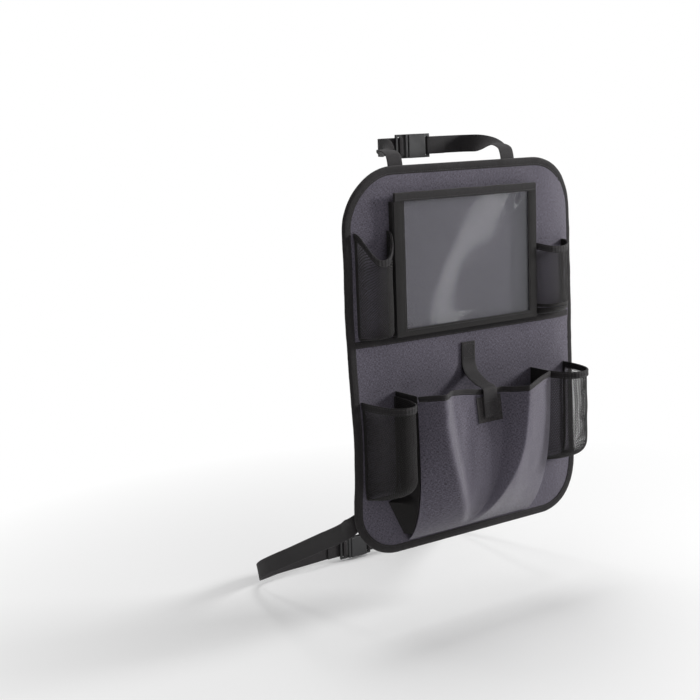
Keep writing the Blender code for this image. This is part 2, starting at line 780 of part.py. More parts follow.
SEAT_TOP_Z = PANEL_HEIGHT / 2 + SEAT_ABOVE_PANEL
LOWER_EDGE_Z = -PANEL_HEIGHT / 2 + LOWER_EDGE_RISE


def through(points, first, share):
    """A point of the smooth curve through a list of points, on the stretch after the first one."""
    last = len(points) - 1
    around = [points[min(max(first + k, 0), last)] for k in (-1, 0, 1, 2)]
    if first == 0:
        around[0] = 2 * around[1] - around[2]
    if first + 1 == last:
        around[3] = 2 * around[2] - around[1]
    knots = [0.0]
    for before, after in zip(around, around[1:]):
        knots.append(knots[-1] + math.sqrt(max((after - before).length, WELD)))
    t = blend(knots[1], knots[2], share)
    level = list(around)
    for reach in (1, 2, 3):
        level = [
            (knots[k + reach] - t) / (knots[k + reach] - knots[k]) * level[k]
            + (t - knots[k]) / (knots[k + reach] - knots[k]) * level[k + 1]
            for k in range(len(level) - 1)
        ]
    return level[0]


def strap(name, stations, width, thickness):
    """Flat webbing through stations, each a point and the direction of the webbing's width."""
    points = [place for place, side in stations]
    line, sides = [], []
    for first in range(len(stations) - 1):
        length = (points[first + 1] - points[first]).length
        steps = min(6, max(1, math.ceil(length / SAMPLE_SPACING)))
        for step in range(steps):
            share = step / steps
            line.append(through(points, first, share))
            sides.append(stations[first][1].lerp(stations[first + 1][1], share))
    line.append(points[-1])
    sides.append(stations[-1][1])

    def point(column, row):
        before = line[max(row - 1, 0)]
        after = line[min(row + 1, len(line) - 1)]
        along = (after - before).normalized()
        side = (sides[row] - along * sides[row].dot(along)).normalized()
        return line[row] + side * width * (column - 0.5)

    sheet(name, point, 1, len(line) - 1, thickness, "black_webbing", offset=0.0, draped=False)


# Side-release buckles, in a frame whose x runs from the plug's outer bar into the socket

BAR_B_X = BAR_WIDTH + LADDER_SLOT
COLLAR_X = BAR_B_X + BAR_WIDTH / 2 + LADDER_SLOT
MOUTH_X = COLLAR_X + COLLAR_LENGTH + MOUTH_GAP
SOCKET_BACK_X = MOUTH_X + SOCKET_LENGTH
SOCKET_BAR_X = SOCKET_BACK_X + SOCKET_SLOT + BAR_WIDTH / 2
SLOT_HALF = WEBBING_WIDTH / 2 + 0.001
RIM_WIDTH = 0.0005


def block(name, low, high, rounding=0.0):
    """A box between two corners, with rounded edges if wanted."""
    shape = bmesh.new()
    bmesh.ops.create_cube(shape, size=1.0)
    size = [b - a for a, b in zip(low, high)]
    middle = [(a + b) / 2 for a, b in zip(low, high)]
    bmesh.ops.scale(shape, vec=size, verts=shape.verts)
    bmesh.ops.translate(shape, vec=middle, verts=shape.verts)
    if rounding:
        bmesh.ops.bevel(
            shape, geom=shape.edges[:], offset=rounding, segments=2, profile=0.5,
            affect="EDGES", clamp_overlap=True,
        )
    mesh = bpy.data.meshes.new(name)
    shape.to_mesh(mesh)
    shape.free()
    return mesh


def combine(item, mesh, operation, matrix):
    """Joins or cuts an object with a mesh."""
    cutter = bpy.data.objects.new(item.name + "_cutter", mesh)
    cutter.matrix_world = matrix
    cutter.hide_render = True
    cutter.display_type = "WIRE"
    CUTTERS.objects.link(cutter)
    modifier = item.modifiers.new(operation.lower(), "BOOLEAN")
    modifier.operation = operation
    modifier.object = cutter


def comb_outline():
    """The plug's two barbed arms and its middle tongue, as (x, z)."""
    root = COLLAR_X + COLLAR_LENGTH / 2
    start = COLLAR_X + COLLAR_LENGTH
    tip = start + ARM_LENGTH
    outer = BUCKLE_WIDTH / 2 - RIM_WIDTH
    half = [
        (root, 0.0120), (start + 0.0072, 0.0126), (start + 0.0092, outer), (start + 0.0160, outer),
        (tip, 0.0126), (tip, 0.0102), (tip - 0.0040, 0.0094), (start + 0.0030, 0.0086),
        (start + 0.0030, 0.0028), (start + 0.0160, 0.0022), (start + 0.0180, 0.0012),
    ]
    return half + [(x, -z) for x, z in reversed(half)]


def buckle(prefix, x, y, z):
    """A plug and its socket, with the plug's outer bar at the given place."""
    matrix = Matrix.Translation((x, y, z))
    wide = BUCKLE_WIDTH / 2
    thin = BAR_WIDTH / 2
    deep = BUCKLE_THICKNESS / 2
    low, high = -BAR_WIDTH / 2, COLLAR_X + COLLAR_LENGTH / 2
    plate = block(prefix + "_plate", (low, -thin, -wide), (high, thin, wide), EDGE_ROUND / 2)
    plug = add_object(prefix + "_buckle_plug", plate, "black_plastic")
    plug.matrix_world = matrix
    collar_deep = COLLAR_THICKNESS / 2
    collar = block(
        prefix + "_collar", (COLLAR_X, -collar_deep, -wide),
        (COLLAR_X + COLLAR_LENGTH, collar_deep, wide), EDGE_ROUND,
    )
    combine(plug, collar, "UNION", matrix)
    comb = flat_outline(prefix + "_comb", [comb_outline()], ARM_THICKNESS, 0.0, "black_plastic")
    combine(plug, curve_to_mesh(comb)[1], "UNION", matrix)
    for middle in (BAR_WIDTH / 2 + LADDER_SLOT / 2, COLLAR_X - LADDER_SLOT / 2):
        slot = block(
            prefix + "_slot", (middle - LADDER_SLOT / 2, -deep, -SLOT_HALF),
            (middle + LADDER_SLOT / 2, deep, SLOT_HALF),
        )
        combine(plug, slot, "DIFFERENCE", matrix)

    body = block(
        prefix + "_body", (MOUTH_X, -deep, -wide), (SOCKET_BACK_X, deep, wide), EDGE_ROUND,
    )
    socket = add_object(prefix + "_buckle_socket", body, "black_plastic")
    socket.matrix_world = matrix
    bar_deep = SOCKET_BAR_DEPTH / 2
    end_x = SOCKET_BAR_X + BAR_WIDTH / 2
    tail = block(
        prefix + "_tail", (SOCKET_BACK_X - 0.003, -bar_deep, -wide), (end_x, bar_deep, wide),
        EDGE_ROUND / 2,
    )
    combine(socket, tail, "UNION", matrix)
    hollow = CAVITY_THICKNESS / 2
    inside = wide - 0.003
    cavity = block(
        prefix + "_cavity", (MOUTH_X - 0.002, -hollow, -inside),
        (MOUTH_X + CAVITY_DEPTH, hollow, inside),
    )
    combine(socket, cavity, "DIFFERENCE", matrix)
    barb_x = COLLAR_X + COLLAR_LENGTH
    window = block(
        prefix + "_window", (barb_x + 0.0062, -hollow, -wide - 0.002),
        (barb_x + 0.0215, hollow, wide + 0.002),
    )
    combine(socket, window, "DIFFERENCE", matrix)
    slot = block(
        prefix + "_bar_slot", (SOCKET_BACK_X, -deep, -SLOT_HALF),
        (SOCKET_BACK_X + SOCKET_SLOT, deep, SLOT_HALF),
    )
    combine(socket, slot, "DIFFERENCE", matrix)
    for item in (plug, socket):
        shade(item, 30)


def ladder_thread(x, y, z):
    """Stations of webbing that comes from -X, turns round the plug's inner bar and ends in a tail."""
    layer = BAR_WIDTH / 2 + SEAM_GAP + WEBBING_THICKNESS / 2
    outer = layer + WEBBING_THICKNESS + 2 * SEAM_GAP
    corner = layer * 0.9
    path = [
        (-0.030, outer), (-0.004, outer), (0.003, outer), (BAR_B_X - 0.001, layer + 0.0007),
        (BAR_B_X + corner, corner + 0.0003), (BAR_B_X + layer, 0.0), (BAR_B_X + corner, -corner),
        (BAR_B_X, -layer), (BAR_B_X - corner, -corner), (BAR_B_X - layer, 0.0),
        (BAR_B_X - layer - 0.0008, 0.0012), (0.0022, layer - 0.0001), (-0.002, layer),
        (-0.024, layer),
    ]
    upright = Vector((0, 0, 1))
    return [(Vector((x + along, y + out, z)), upright) for along, out in path]


def bar_thread(x, y, z):
    """Stations of webbing that comes from +X, turns round the socket's bar and is sewn back."""
    bar = x + SOCKET_BAR_X
    across = BAR_WIDTH / 2 + SEAM_GAP + WEBBING_THICKNESS / 2
    layer = SOCKET_BAR_DEPTH / 2 + SEAM_GAP + WEBBING_THICKNESS / 2
    path = [
        (0.030, layer), (0.004, layer), (0.0, layer), (-across * 0.9, layer * 0.93),
        (-across - 0.0003, layer * 0.4), (-across - 0.0003, -layer * 0.4),
        (-across * 0.9, -layer * 0.93), (0.0, -layer), (0.004, -layer), (0.028, -layer),
    ]
    upright = Vector((0, 0, 1))
    return [(Vector((bar + along, y + out, z)), upright) for along, out in path]


def top_root(x):
    """Stations of a top strap from its sewn end, over the binding and the top of the seat."""
    on_panel = 2 * SEAM_GAP + WEBBING_THICKNESS / 2
    on_binding = on_panel + BINDING_STANDS
    edge = PANEL_HEIGHT / 2
    flat = Vector((1, 0, 0))
    sewn = [
        (on_panel, edge - ROOT_DEPTH), (on_panel, edge - BINDING_WIDTH - 0.008),
        (on_binding, edge - BINDING_WIDTH), (on_binding, edge),
    ]
    path = [(drape(x, z) + lift, z) for lift, z in sewn]
    path += [(TOP_WRAP + 0.008, SEAT_TOP_Z - 0.007), (0.026, SEAT_TOP_Z - 0.001)]
    return [(Vector((x, y, z)), flat) for y, z in path]


def top_straps():
    z = SEAT_TOP_Z + 0.001
    upright = Vector((0, 0, 1))
    leaning = Vector((0.7, 0, 0.7))
    buckle("top", TOP_BUCKLE_X, TOP_RUN_Y, z)
    left = top_root(TOP_LEFT_ROOT_X) + [
        (Vector((blend(TOP_LEFT_ROOT_X, POST_LEFT_X, 0.35), POST_Y - 0.022, z)), leaning),
        (Vector((POST_LEFT_X - 0.012, POST_Y, z)), upright),
        (Vector((POST_LEFT_X - 0.006, TOP_RUN_Y - 0.007, z)), upright),
    ]
    strap(
        "top_strap_left", left + ladder_thread(TOP_BUCKLE_X, TOP_RUN_Y, z)[1:],
        WEBBING_WIDTH, WEBBING_THICKNESS,
    )
    right = top_root(TOP_RIGHT_ROOT_X) + [
        (Vector((TOP_RIGHT_ROOT_X + 0.001, POST_Y - 0.016, z)), leaning),
        (Vector((TOP_RIGHT_ROOT_X, TOP_RUN_Y - 0.014, z)), upright),
        (Vector((TOP_RIGHT_ROOT_X - 0.008, TOP_RUN_Y + 0.001, z)), upright),
        (Vector((POST_RIGHT_X, TOP_RUN_Y + 0.004, z)), upright),
    ]
    strap(
        "top_strap_right", right + bar_thread(TOP_BUCKLE_X, TOP_RUN_Y, z),
        WEBBING_WIDTH, WEBBING_THICKNESS,
    )


def lower_route(side):
    """Stations of a lower strap from its sewn end, along the backrest to the seat's crease."""
    edge = PANEL_WIDTH / 2
    slope = Vector((0, CREASE_Y, CREASE_Z - LOWER_EDGE_Z)).normalized()
    upright = Vector((0, -slope.z, slope.y))
    tilted = Vector((0.3 * side, 0, 1)).normalized()
    outside = edge + 0.004
    clear = 4 * SEAM_GAP + WEBBING_THICKNESS / 2
    crease = Vector((0, 0.25, 1)).normalized()

    def along_seat(share):
        return Vector((side * outside, CREASE_Y * share, blend(LOWER_EDGE_Z, CREASE_Z, share)))

    sewn = []
    for inward, rise, lift in ((LOWER_ROOT_INSET, 0.018, 0), (0.026, 0.011, 0), (0.011, 0.006, 1)):
        x = side * (edge - inward)
        z = LOWER_EDGE_Z + rise
        sewn.append((Vector((x, drape(x, z) + clear + lift * BINDING_STANDS, z)), tilted))
    return sewn + [
        (
            Vector((side * (edge + 0.001), drape(side * edge, LOWER_EDGE_Z) + 0.0065, LOWER_EDGE_Z)),
            tilted,
        ),
        (along_seat(0.09), upright),
        (along_seat(0.27), upright),
        (along_seat(0.58), upright),
        (along_seat(0.87), upright),
        (Vector((side * (outside - 0.012), CREASE_Y - 0.008, CREASE_Z + 0.001)), crease),
        (Vector((side * (outside - 0.050), CREASE_Y + 0.002, CREASE_Z)), crease),
        (Vector((side * 0.090, CREASE_Y + 0.003, CREASE_Z)), Vector((0, 0, 1))),
    ]


def lower_straps():
    buckle("lower", LOWER_BUCKLE_X, CREASE_Y, CREASE_Z)
    strap(
        "lower_strap_left", lower_route(-1) + ladder_thread(LOWER_BUCKLE_X, CREASE_Y, CREASE_Z),
        WEBBING_WIDTH, WEBBING_THICKNESS,
    )
    strap(
        "lower_strap_right", lower_route(1) + bar_thread(LOWER_BUCKLE_X, CREASE_Y, CREASE_Z),
        WEBBING_WIDTH, WEBBING_THICKNESS,
    )


back_panel()
edge_binding()
cross_seam_tape()
tablet_pocket_frame()
tablet_pocket_wall()
tablet_pocket_top_band()
tablet_window()
side_pockets()
centre_pocket_front()
centre_pocket_rim()
centre_wall("centre_pocket_left_wall", 0, True)
centre_wall("centre_pocket_right_wall", 1, False)
closure_patches()
closure_tab()
top_straps()
lower_straps()
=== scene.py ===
import math

import bpy
import numpy as np
from mathutils import Matrix, Quaternion, Vector, noise


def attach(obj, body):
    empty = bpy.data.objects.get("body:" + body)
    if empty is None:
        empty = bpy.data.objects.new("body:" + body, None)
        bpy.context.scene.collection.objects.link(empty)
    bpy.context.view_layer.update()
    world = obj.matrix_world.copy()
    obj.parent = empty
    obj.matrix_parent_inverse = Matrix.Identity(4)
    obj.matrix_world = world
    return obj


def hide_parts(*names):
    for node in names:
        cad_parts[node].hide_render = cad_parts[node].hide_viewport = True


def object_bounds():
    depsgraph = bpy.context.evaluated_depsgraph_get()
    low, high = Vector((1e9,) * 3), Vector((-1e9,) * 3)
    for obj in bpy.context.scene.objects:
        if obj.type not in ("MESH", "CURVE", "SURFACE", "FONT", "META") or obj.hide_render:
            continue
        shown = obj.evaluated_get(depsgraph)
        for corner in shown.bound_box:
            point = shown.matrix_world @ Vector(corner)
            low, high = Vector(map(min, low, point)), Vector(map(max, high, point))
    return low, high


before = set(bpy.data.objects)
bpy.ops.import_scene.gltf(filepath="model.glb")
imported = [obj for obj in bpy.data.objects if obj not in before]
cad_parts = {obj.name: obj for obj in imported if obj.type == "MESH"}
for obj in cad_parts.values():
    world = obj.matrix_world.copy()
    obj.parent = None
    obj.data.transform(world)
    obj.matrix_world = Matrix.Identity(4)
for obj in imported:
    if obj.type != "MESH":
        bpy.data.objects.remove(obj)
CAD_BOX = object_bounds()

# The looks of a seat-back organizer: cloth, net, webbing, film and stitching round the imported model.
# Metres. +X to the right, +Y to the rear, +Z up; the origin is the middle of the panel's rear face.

# Fits and sizes of the model's pieces
SEAM_GAP = 0.0003
PANEL_WIDTH = 0.410
PANEL_HEIGHT = 0.532
PANEL_THICKNESS = 0.003
TOP_CORNER_RADIUS = 0.080
BOTTOM_CORNER_RADIUS = 0.068
FLAT_HALF_WIDTH = 0.140
RIGHT_WRAP = 0.014
LEFT_WRAP = 0.004
FLAT_TOP_Z = 0.2345
FLAT_BOTTOM_Z = -0.239
TOP_WRAP = 0.0025
BOTTOM_WRAP = 0.0010
BOTTLE_PULL = 0.010
BOTTLE_PULL_REACH = 0.100
BOTTLE_MIDDLE_Z = -0.110

BINDING_WIDTH = 0.011
BINDING_SHOWN = 0.0085
BINDING_FABRIC = 0.0009
BINDING_STANDS = 1.5 * (SEAM_GAP + BINDING_FABRIC)
TAPE_WIDTH = 0.009
TAPE_THICKNESS = 0.0012
TAPE_TOP_Z = 0.038

TABLET_LEFT_X = -0.136
TABLET_RIGHT_X = 0.119
TABLET_TOP_Z = 0.234
TABLET_BOTTOM_Z = TAPE_TOP_Z + SEAM_GAP
TABLET_DEPTH = 0.0125
FRAME_LEFT_STRIP = 0.017
FRAME_RIGHT_STRIP = 0.015
FRAME_BOTTOM_BAND = 0.0105
FRAME_THICKNESS = 0.0012
FRAME_BACK = TABLET_DEPTH - FRAME_THICKNESS
TOP_BAND_HEIGHT = 0.012
TOP_BAND_FABRIC = 0.0009
WALL_FABRIC = 0.0010
WINDOW_OVERLAP = 0.004
WINDOW_FILM = 0.0005
WINDOW_LEFT_X = TABLET_LEFT_X + FRAME_LEFT_STRIP
WINDOW_RIGHT_X = TABLET_RIGHT_X - FRAME_RIGHT_STRIP
WINDOW_BOTTOM_Z = TABLET_BOTTOM_Z + FRAME_BOTTOM_BAND
WINDOW_TOP_Z = TABLET_TOP_Z - TOP_BAND_HEIGHT - SEAM_GAP

MESH_FABRIC = 0.0010
ELASTIC_HEIGHT = 0.010
ELASTIC_THICKNESS = 0.0014
RIGHT_POCKET_INSET = 0.006
UPPER_INNER_CLEARANCE = 0.004
UPPER_DEPTH = 0.026
UPPER_LEFT_RIM_Z = 0.184
UPPER_LEFT_SAG = 0.036
UPPER_RIGHT_RIM_Z = 0.146
UPPER_RIGHT_SAG = 0.006
UPPER_ROUNDING = 0.011
UPPER_BASE_HEIGHT = 0.012
UPPER_SQUARENESS = 2.3
BOTTLE_INNER_CLEARANCE = 0.002
BOTTLE_DEPTH = 0.071
BOTTLE_LEFT_RIM_Z = -0.044
BOTTLE_RIGHT_RIM_Z = -0.040
BOTTLE_BOTTOM_Z = -0.183
BOTTLE_ROUNDING = 0.036
BOTTLE_SQUARENESS = 2.5

CENTRE_LEFT_X = -0.134
CENTRE_RIGHT_X = 0.117
CENTRE_FOOT_INSET = 0.013
CENTRE_BOTTOM_Z = -PANEL_HEIGHT / 2 + BINDING_WIDTH + SEAM_GAP
CENTRE_RIM_Z = -0.039
CENTRE_RIM_DIP = 0.0095
CENTRE_DIP_X = 0.008
CENTRE_DIP_REACH = 0.050
CENTRE_RIM_LIFT = 0.004
CENTRE_LIFT_REACH = 0.028
CENTRE_LEFT_DEPTH = 0.050
CENTRE_RIGHT_DEPTH = 0.040
CENTRE_RIDGE_DEPTH = 0.077
CENTRE_LEFT_RIDGE_X = -0.107
CENTRE_RIGHT_RIDGE_X = 0.034
CENTRE_RIDGE_FOOT_X = -0.029
CENTRE_VALLEY = 0.037
VALLEY_SECTION = ((0.08, 0.22), (0.24, 0.85), (0.40, 1.0), (0.965, 1.0))
SHOULDER_WIDTH = 0.016
SHOULDER_FALL = 0.003
RIDGE_ROUNDING = 0.006
CENTRE_COLUMNS = (5, 2, 4, 3, 7, 4, 2, 6)
CENTRE_FABRIC = 0.0012
CENTRE_RIM_HEIGHT = 0.008
CENTRE_RIM_THICKNESS = 0.0026
FAN_SLOPE = 0.40
FAN_CLEARANCE = 0.002
FAN_FOLD = 0.008
FAN_LIFT = 0.045
FAN_END_Z = BOTTLE_BOTTOM_Z - FAN_CLEARANCE
FAN_TOP_Z = FAN_END_Z - FAN_FOLD

TAB_X = -0.0035
TAB_WIDTH = 0.025
TAB_THICKNESS = 0.0013
TAB_TOP_Z = 0.015
TAB_LEAVES_PANEL_Z = -0.016
TAB_BEND = 0.012
TAB_END_Z = -0.086
PATCH_WIDTH = 0.044
PATCH_HEIGHT = 0.036
PATCH_THICKNESS = 0.0010
PATCH_TOP_Z = CENTRE_RIM_Z - CENTRE_RIM_DIP - CENTRE_RIM_HEIGHT - 0.001
HOOK_WIDTH = 0.024
HOOK_HEIGHT = 0.026

WEBBING_WIDTH = 0.025
WEBBING_THICKNESS = 0.0013
BAR_WIDTH = 0.0035
LADDER_SLOT = 0.0040
SOCKET_BAR_DEPTH = 0.005
BAR_B_X = BAR_WIDTH + LADDER_SLOT
COLLAR_X = BAR_B_X + BAR_WIDTH / 2 + LADDER_SLOT
SOCKET_BAR_X = COLLAR_X + 0.005 + 0.0003 + 0.030 + 0.006 + BAR_WIDTH / 2
TOP_LEFT_ROOT_X = -0.116
TOP_RIGHT_ROOT_X = 0.084
ROOT_DEPTH = 0.030
SEAT_TOP_Z = 0.2905
POST_LEFT_X = -0.078
POST_RIGHT_X = 0.058
POST_Y = 0.068
TOP_RUN_Y = 0.095
TOP_BUCKLE_X = -0.047
LOWER_ROOT_X = 0.165
LOWER_EDGE_Z = -0.218
CREASE_Y = 0.300
CREASE_Z = -0.371
LOWER_BUCKLE_X = -0.035

# Detail that only shows
OUTLINE_SPACING = 0.002
STRAP_SPACING = 0.003
BINDING_SEAM = 0.0063
EDGE_SEAM = 0.0030
MOUTH_SEAM = 0.0098
RIM_SEAM = 0.0022
WINDOW_SEAM = 0.0028
ROUNDING_STEPS = 10
CENTRE_DETAIL = 5
CENTRE_CLOTH_HEIGHT = 0.235
UPPER_NET_PITCH = 0.0026
BOTTLE_NET_PITCH = 0.0029
NET_HOLE = 0.77
NET_THREAD = 0.0006
HEM_WIDTH = 0.0045
STITCH_PITCH = 0.0034
STITCH_LENGTH = 0.0026
STITCH_RADIUS = 0.00026
BUCKLE_BEVEL = 0.0004


# Materials


class Nodes:
    """Short ways to add nodes to a material or a world."""

    def __init__(self, owner):
        owner.use_nodes = True
        self.tree = owner.node_tree

    def node(self, kind, inputs, **settings):
        """Adds a node; an input is a value, or an output of another node."""
        node = self.tree.nodes.new(kind)
        for key, value in settings.items():
            setattr(node, key, value)
        for key, value in inputs.items():
            if isinstance(value, bpy.types.NodeSocket):
                self.tree.links.new(value, node.inputs[key])
            else:
                node.inputs[key].default_value = value
        return node

    def math(self, operation, first, second=0.0):
        return self.node("ShaderNodeMath", {0: first, 1: second}, operation=operation).outputs[0]

    def add(self, first, second):
        return self.math("ADD", first, second)

    def times(self, first, second):
        return self.math("MULTIPLY", first, second)

    def either(self, *values):
        """The greatest of some values from 0 to 1."""
        greatest = values[0]
        for value in values[1:]:
            greatest = self.math("MAXIMUM", greatest, value)
        return greatest

    def scaled(self, vector, scale):
        inputs = {0: vector, 1: scale}
        return self.node("ShaderNodeVectorMath", inputs, operation="MULTIPLY").outputs[0]

    def noise(self, vector, scale, detail=2.0, roughness=0.5):
        inputs = {"Vector": vector, "Scale": scale, "Detail": detail, "Roughness": roughness}
        return self.node("ShaderNodeTexNoise", inputs).outputs["Fac"]

    def spread(self, value, low, high, start=0.0, end=1.0):
        inputs = {"Value": value, "From Min": low, "From Max": high, "To Min": start, "To Max": end}
        return self.node("ShaderNodeMapRange", inputs).outputs[0]

    def mix(self, share, first, second, blend_type="MIX"):
        inputs = {0: share, 6: first, 7: second}
        return self.node("ShaderNodeMix", inputs, data_type="RGBA", blend_type=blend_type).outputs[2]

    def grey(self, value):
        inputs = {"Red": value, "Green": value, "Blue": value}
        return self.node("ShaderNodeCombineColor", inputs).outputs[0]

    def show(self, output, share, first, second):
        """Sends a mix of two shaders to the tree's output."""
        mixed = self.node("ShaderNodeMixShader", {0: share, 1: first, 2: second})
        self.tree.links.new(mixed.outputs[0], self.tree.nodes[output].inputs["Surface"])


class Finish(Nodes):
    """A material of one shader, with its even values given by name."""

    def __init__(self, name, **values):
        self.material = bpy.data.materials.new(name)
        super().__init__(self.material)
        self.shader = self.tree.nodes["Principled BSDF"]
        for key, value in values.items():
            self.shader.inputs[key.replace("_", " ")].default_value = value

    def cloth(self):
        """The cloth's own coordinates, across and along it in metres."""
        return self.node("ShaderNodeAttribute", {}, attribute_name="cloth").outputs["Vector"]

    def edges(self):
        return self.node("ShaderNodeNewGeometry", {}).outputs["Pointiness"]

    def set(self, key, output):
        self.tree.links.new(output, self.shader.inputs[key])

    def relief(self, height, strength, distance):
        node = self.node("ShaderNodeBump", {"Height": height, "Strength": strength})
        node.inputs["Distance"].default_value = distance
        self.set("Normal", node.outputs[0])


def cloth_finish(name, dark, light, fleck, weave, roughness, relief, sheen, wear, chevron=0.0):
    """Woven cloth: two tones of yarn in short flecks, the relief of its weave, blotches and wear."""
    finish = Finish(
        name, Roughness=roughness, Specular_IOR_Level=0.3, Sheen_Weight=sheen, Sheen_Roughness=0.45
    )
    cloth = finish.cloth()
    short, long = fleck
    warp = finish.noise(finish.scaled(cloth, (1 / short, 1 / long, 1.0)), 1.0, 3.0, 0.6)
    weft = finish.noise(finish.scaled(cloth, (1 / long, 1 / short, 7.0)), 1.0, 3.0, 0.6)
    yarn = finish.times(finish.add(warp, weft), 0.5)
    tone = finish.spread(yarn, 0.40, 0.60)
    parts = finish.node("ShaderNodeSeparateXYZ", {0: cloth}).outputs
    across, along = weave
    lean = finish.times(finish.math("ABSOLUTE", parts[0]), chevron)
    ends = finish.math("SINE", finish.times(parts[0], 2 * math.pi / across))
    picks_at = finish.add(parts[1], lean)
    picks = finish.math("SINE", finish.times(picks_at, 2 * math.pi / along))
    knots = finish.times(ends, picks)
    if chevron:
        knots = finish.add(finish.times(picks, 0.7), finish.times(knots, 0.5))
        ribs = finish.spread(knots, -1.0, 1.0)
        tone = finish.add(finish.times(tone, 0.45), finish.times(ribs, 0.55))
    blotch = finish.spread(finish.noise(cloth, 11.0, 3.0), 0.3, 0.7, 0.92, 1.07)
    colour = finish.mix(tone, (*dark, 1.0), (*light, 1.0))
    colour = finish.mix(1.0, colour, finish.grey(blotch), "MULTIPLY")
    worn = finish.times(finish.spread(finish.edges(), 0.51, 0.60, 0.0, wear), tone)
    pale = tuple(min(1.0, 2.2 * value + 0.03) for value in light)
    finish.set("Base Color", finish.mix(worn, colour, (*pale, 1.0)))
    finish.set("Roughness", finish.spread(yarn, 0.3, 0.7, roughness - 0.06, roughness + 0.05))
    height = finish.add(finish.times(knots, 0.35), finish.times(yarn, 1.6))
    finish.relief(height, relief, 0.00035)
    return finish.material


def pile_finish(name, dark, light, size, roughness):
    """The fuzzy face of a hook-and-loop patch."""
    finish = Finish(name, Roughness=roughness, Specular_IOR_Level=0.2, Sheen_Weight=0.35)
    cloth = finish.cloth()
    curl = finish.noise(cloth, 1 / size, 4.0, 0.7)
    clump = finish.noise(cloth, 0.25 / size, 2.0)
    tone = finish.spread(finish.add(curl, clump), 0.8, 1.25)
    finish.set("Base Color", finish.mix(tone, (*dark, 1.0), (*light, 1.0)))
    finish.relief(curl, 0.9, 0.0006)
    return finish.material


def plastic_finish(name, colour, roughness):
    """Moulded plastic with a fine spark-eroded grain and rubbed edges."""
    finish = Finish(name, Roughness=roughness, Specular_IOR_Level=0.5)
    place = finish.node("ShaderNodeTexCoord", {}).outputs["Object"]
    grain = finish.noise(place, 2600.0, 2.0)
    flow = finish.noise(place, 70.0, 2.0)
    worn = finish.spread(finish.edges(), 0.52, 0.62, 0.0, 0.5)
    pale = tuple(value * 3 for value in colour)
    finish.set("Base Color", finish.mix(worn, (*colour, 1.0), (*pale, 1.0)))
    finish.set("Roughness", finish.spread(flow, 0.3, 0.7, roughness - 0.07, roughness + 0.10))
    finish.relief(grain, 0.25, 0.00008)
    return finish.material


def film_finish(name):
    """Clear vinyl: thin, glossy and a little hazy, with faint scuffs; it clouds at a low angle."""
    finish = Finish(
        name, Roughness=0.05, Specular_IOR_Level=1.0, Coat_Weight=1.0, Coat_Roughness=0.04,
        Base_Color=(0.40, 0.41, 0.44, 1.0),
    )
    cloth = finish.cloth()
    scuff = finish.noise(finish.scaled(cloth, (60.0, 400.0, 1.0)), 1.0, 4.0, 0.65)
    wave = finish.noise(cloth, 7.0, 2.0)
    low_angle = finish.node("ShaderNodeLayerWeight", {"Blend": 0.25}).outputs["Fresnel"]
    haze = finish.spread(scuff, 0.45, 0.75, 0.07, 0.11)
    finish.set("Alpha", finish.add(haze, finish.times(low_angle, 0.40)))
    finish.set("Roughness", finish.spread(scuff, 0.45, 0.75, 0.04, 0.13))
    finish.relief(wave, 0.10, 0.0010)
    return finish.material


HEATHER = cloth_finish(
    "heather_cloth", (0.024, 0.019, 0.026), (0.152, 0.139, 0.182), (0.0005, 0.0034), (0.0010, 0.0010),
    0.86, 0.40, 0.25, 0.08,
)
BINDING = cloth_finish(
    "binding_tape", (0.006, 0.005, 0.006), (0.020, 0.017, 0.018), (0.0006, 0.004), (0.0011, 0.0009),
    0.80, 0.5, 0.10, 0.20,
)
LINING = cloth_finish(
    "black_cloth", (0.004, 0.0035, 0.0035), (0.014, 0.012, 0.012), (0.0005, 0.003), (0.0010, 0.0010),
    0.84, 0.5, 0.12, 0.15,
)
WEBBING = cloth_finish(
    "ribbed_webbing", (0.003, 0.0025, 0.003), (0.034, 0.030, 0.032), (0.0006, 0.003), (0.0026, 0.0026),
    0.74, 0.9, 0.08, 0.12, 0.9,
)
ELASTIC = cloth_finish(
    "ribbed_elastic", (0.006, 0.005, 0.006), (0.022, 0.019, 0.020), (0.0006, 0.004), (0.0013, 0.0040),
    0.74, 0.9, 0.10, 0.15,
)
YARN = cloth_finish(
    "net_yarn", (0.006, 0.005, 0.005), (0.024, 0.021, 0.021), (0.0003, 0.001), (0.0005, 0.0005),
    0.60, 0.4, 0.10, 0.10,
)
THREAD = cloth_finish(
    "sewing_thread", (0.018, 0.016, 0.018), (0.050, 0.045, 0.050), (0.0002, 0.001), (0.0004, 0.0004),
    0.50, 0.4, 0.05, 0.0,
)
LOOP = pile_finish("loop_pile", (0.006, 0.005, 0.005), (0.030, 0.025, 0.027), 0.0009, 0.95)
PLASTIC = plastic_finish("moulded_plastic", (0.015, 0.015, 0.016), 0.38)
FILM = film_finish("clear_vinyl")


# Small helpers


def blend(start, end, share):
    return start + (end - start) * share


def bump(value, middle, reach):
    return math.exp(-(((value - middle) / reach) ** 2))


def soft_step(value, low, high):
    share = min(1.0, max(0.0, (value - low) / (high - low)))
    return share * share * (3 - 2 * share)


def waves(x, z, size, seed):
    """Smooth noise of about this size, from -1 to 1."""
    return noise.noise(Vector((x / size, z / size, seed)))


def power(value, exponent):
    return math.copysign(abs(value) ** exponent, value)


def evenly(first, last, count):
    return [blend(first, last, k / count) for k in range(count + 1)]


def shares(count):
    return evenly(0.0, 1.0, count)


def run_along(points):
    """How far each point lies along its line."""
    steps = np.linalg.norm(np.diff(points, axis=0), axis=1)
    return np.concatenate([[0.0], np.cumsum(steps)])


def headings(spots):
    """The direction along a line at each of its points."""
    last = len(spots) - 1
    ends = [(spots[max(k - 1, 0)], spots[min(k + 1, last)]) for k in range(last + 1)]
    return [(after - before).normalized() for before, after in ends]


# The panel's outline and how it lies


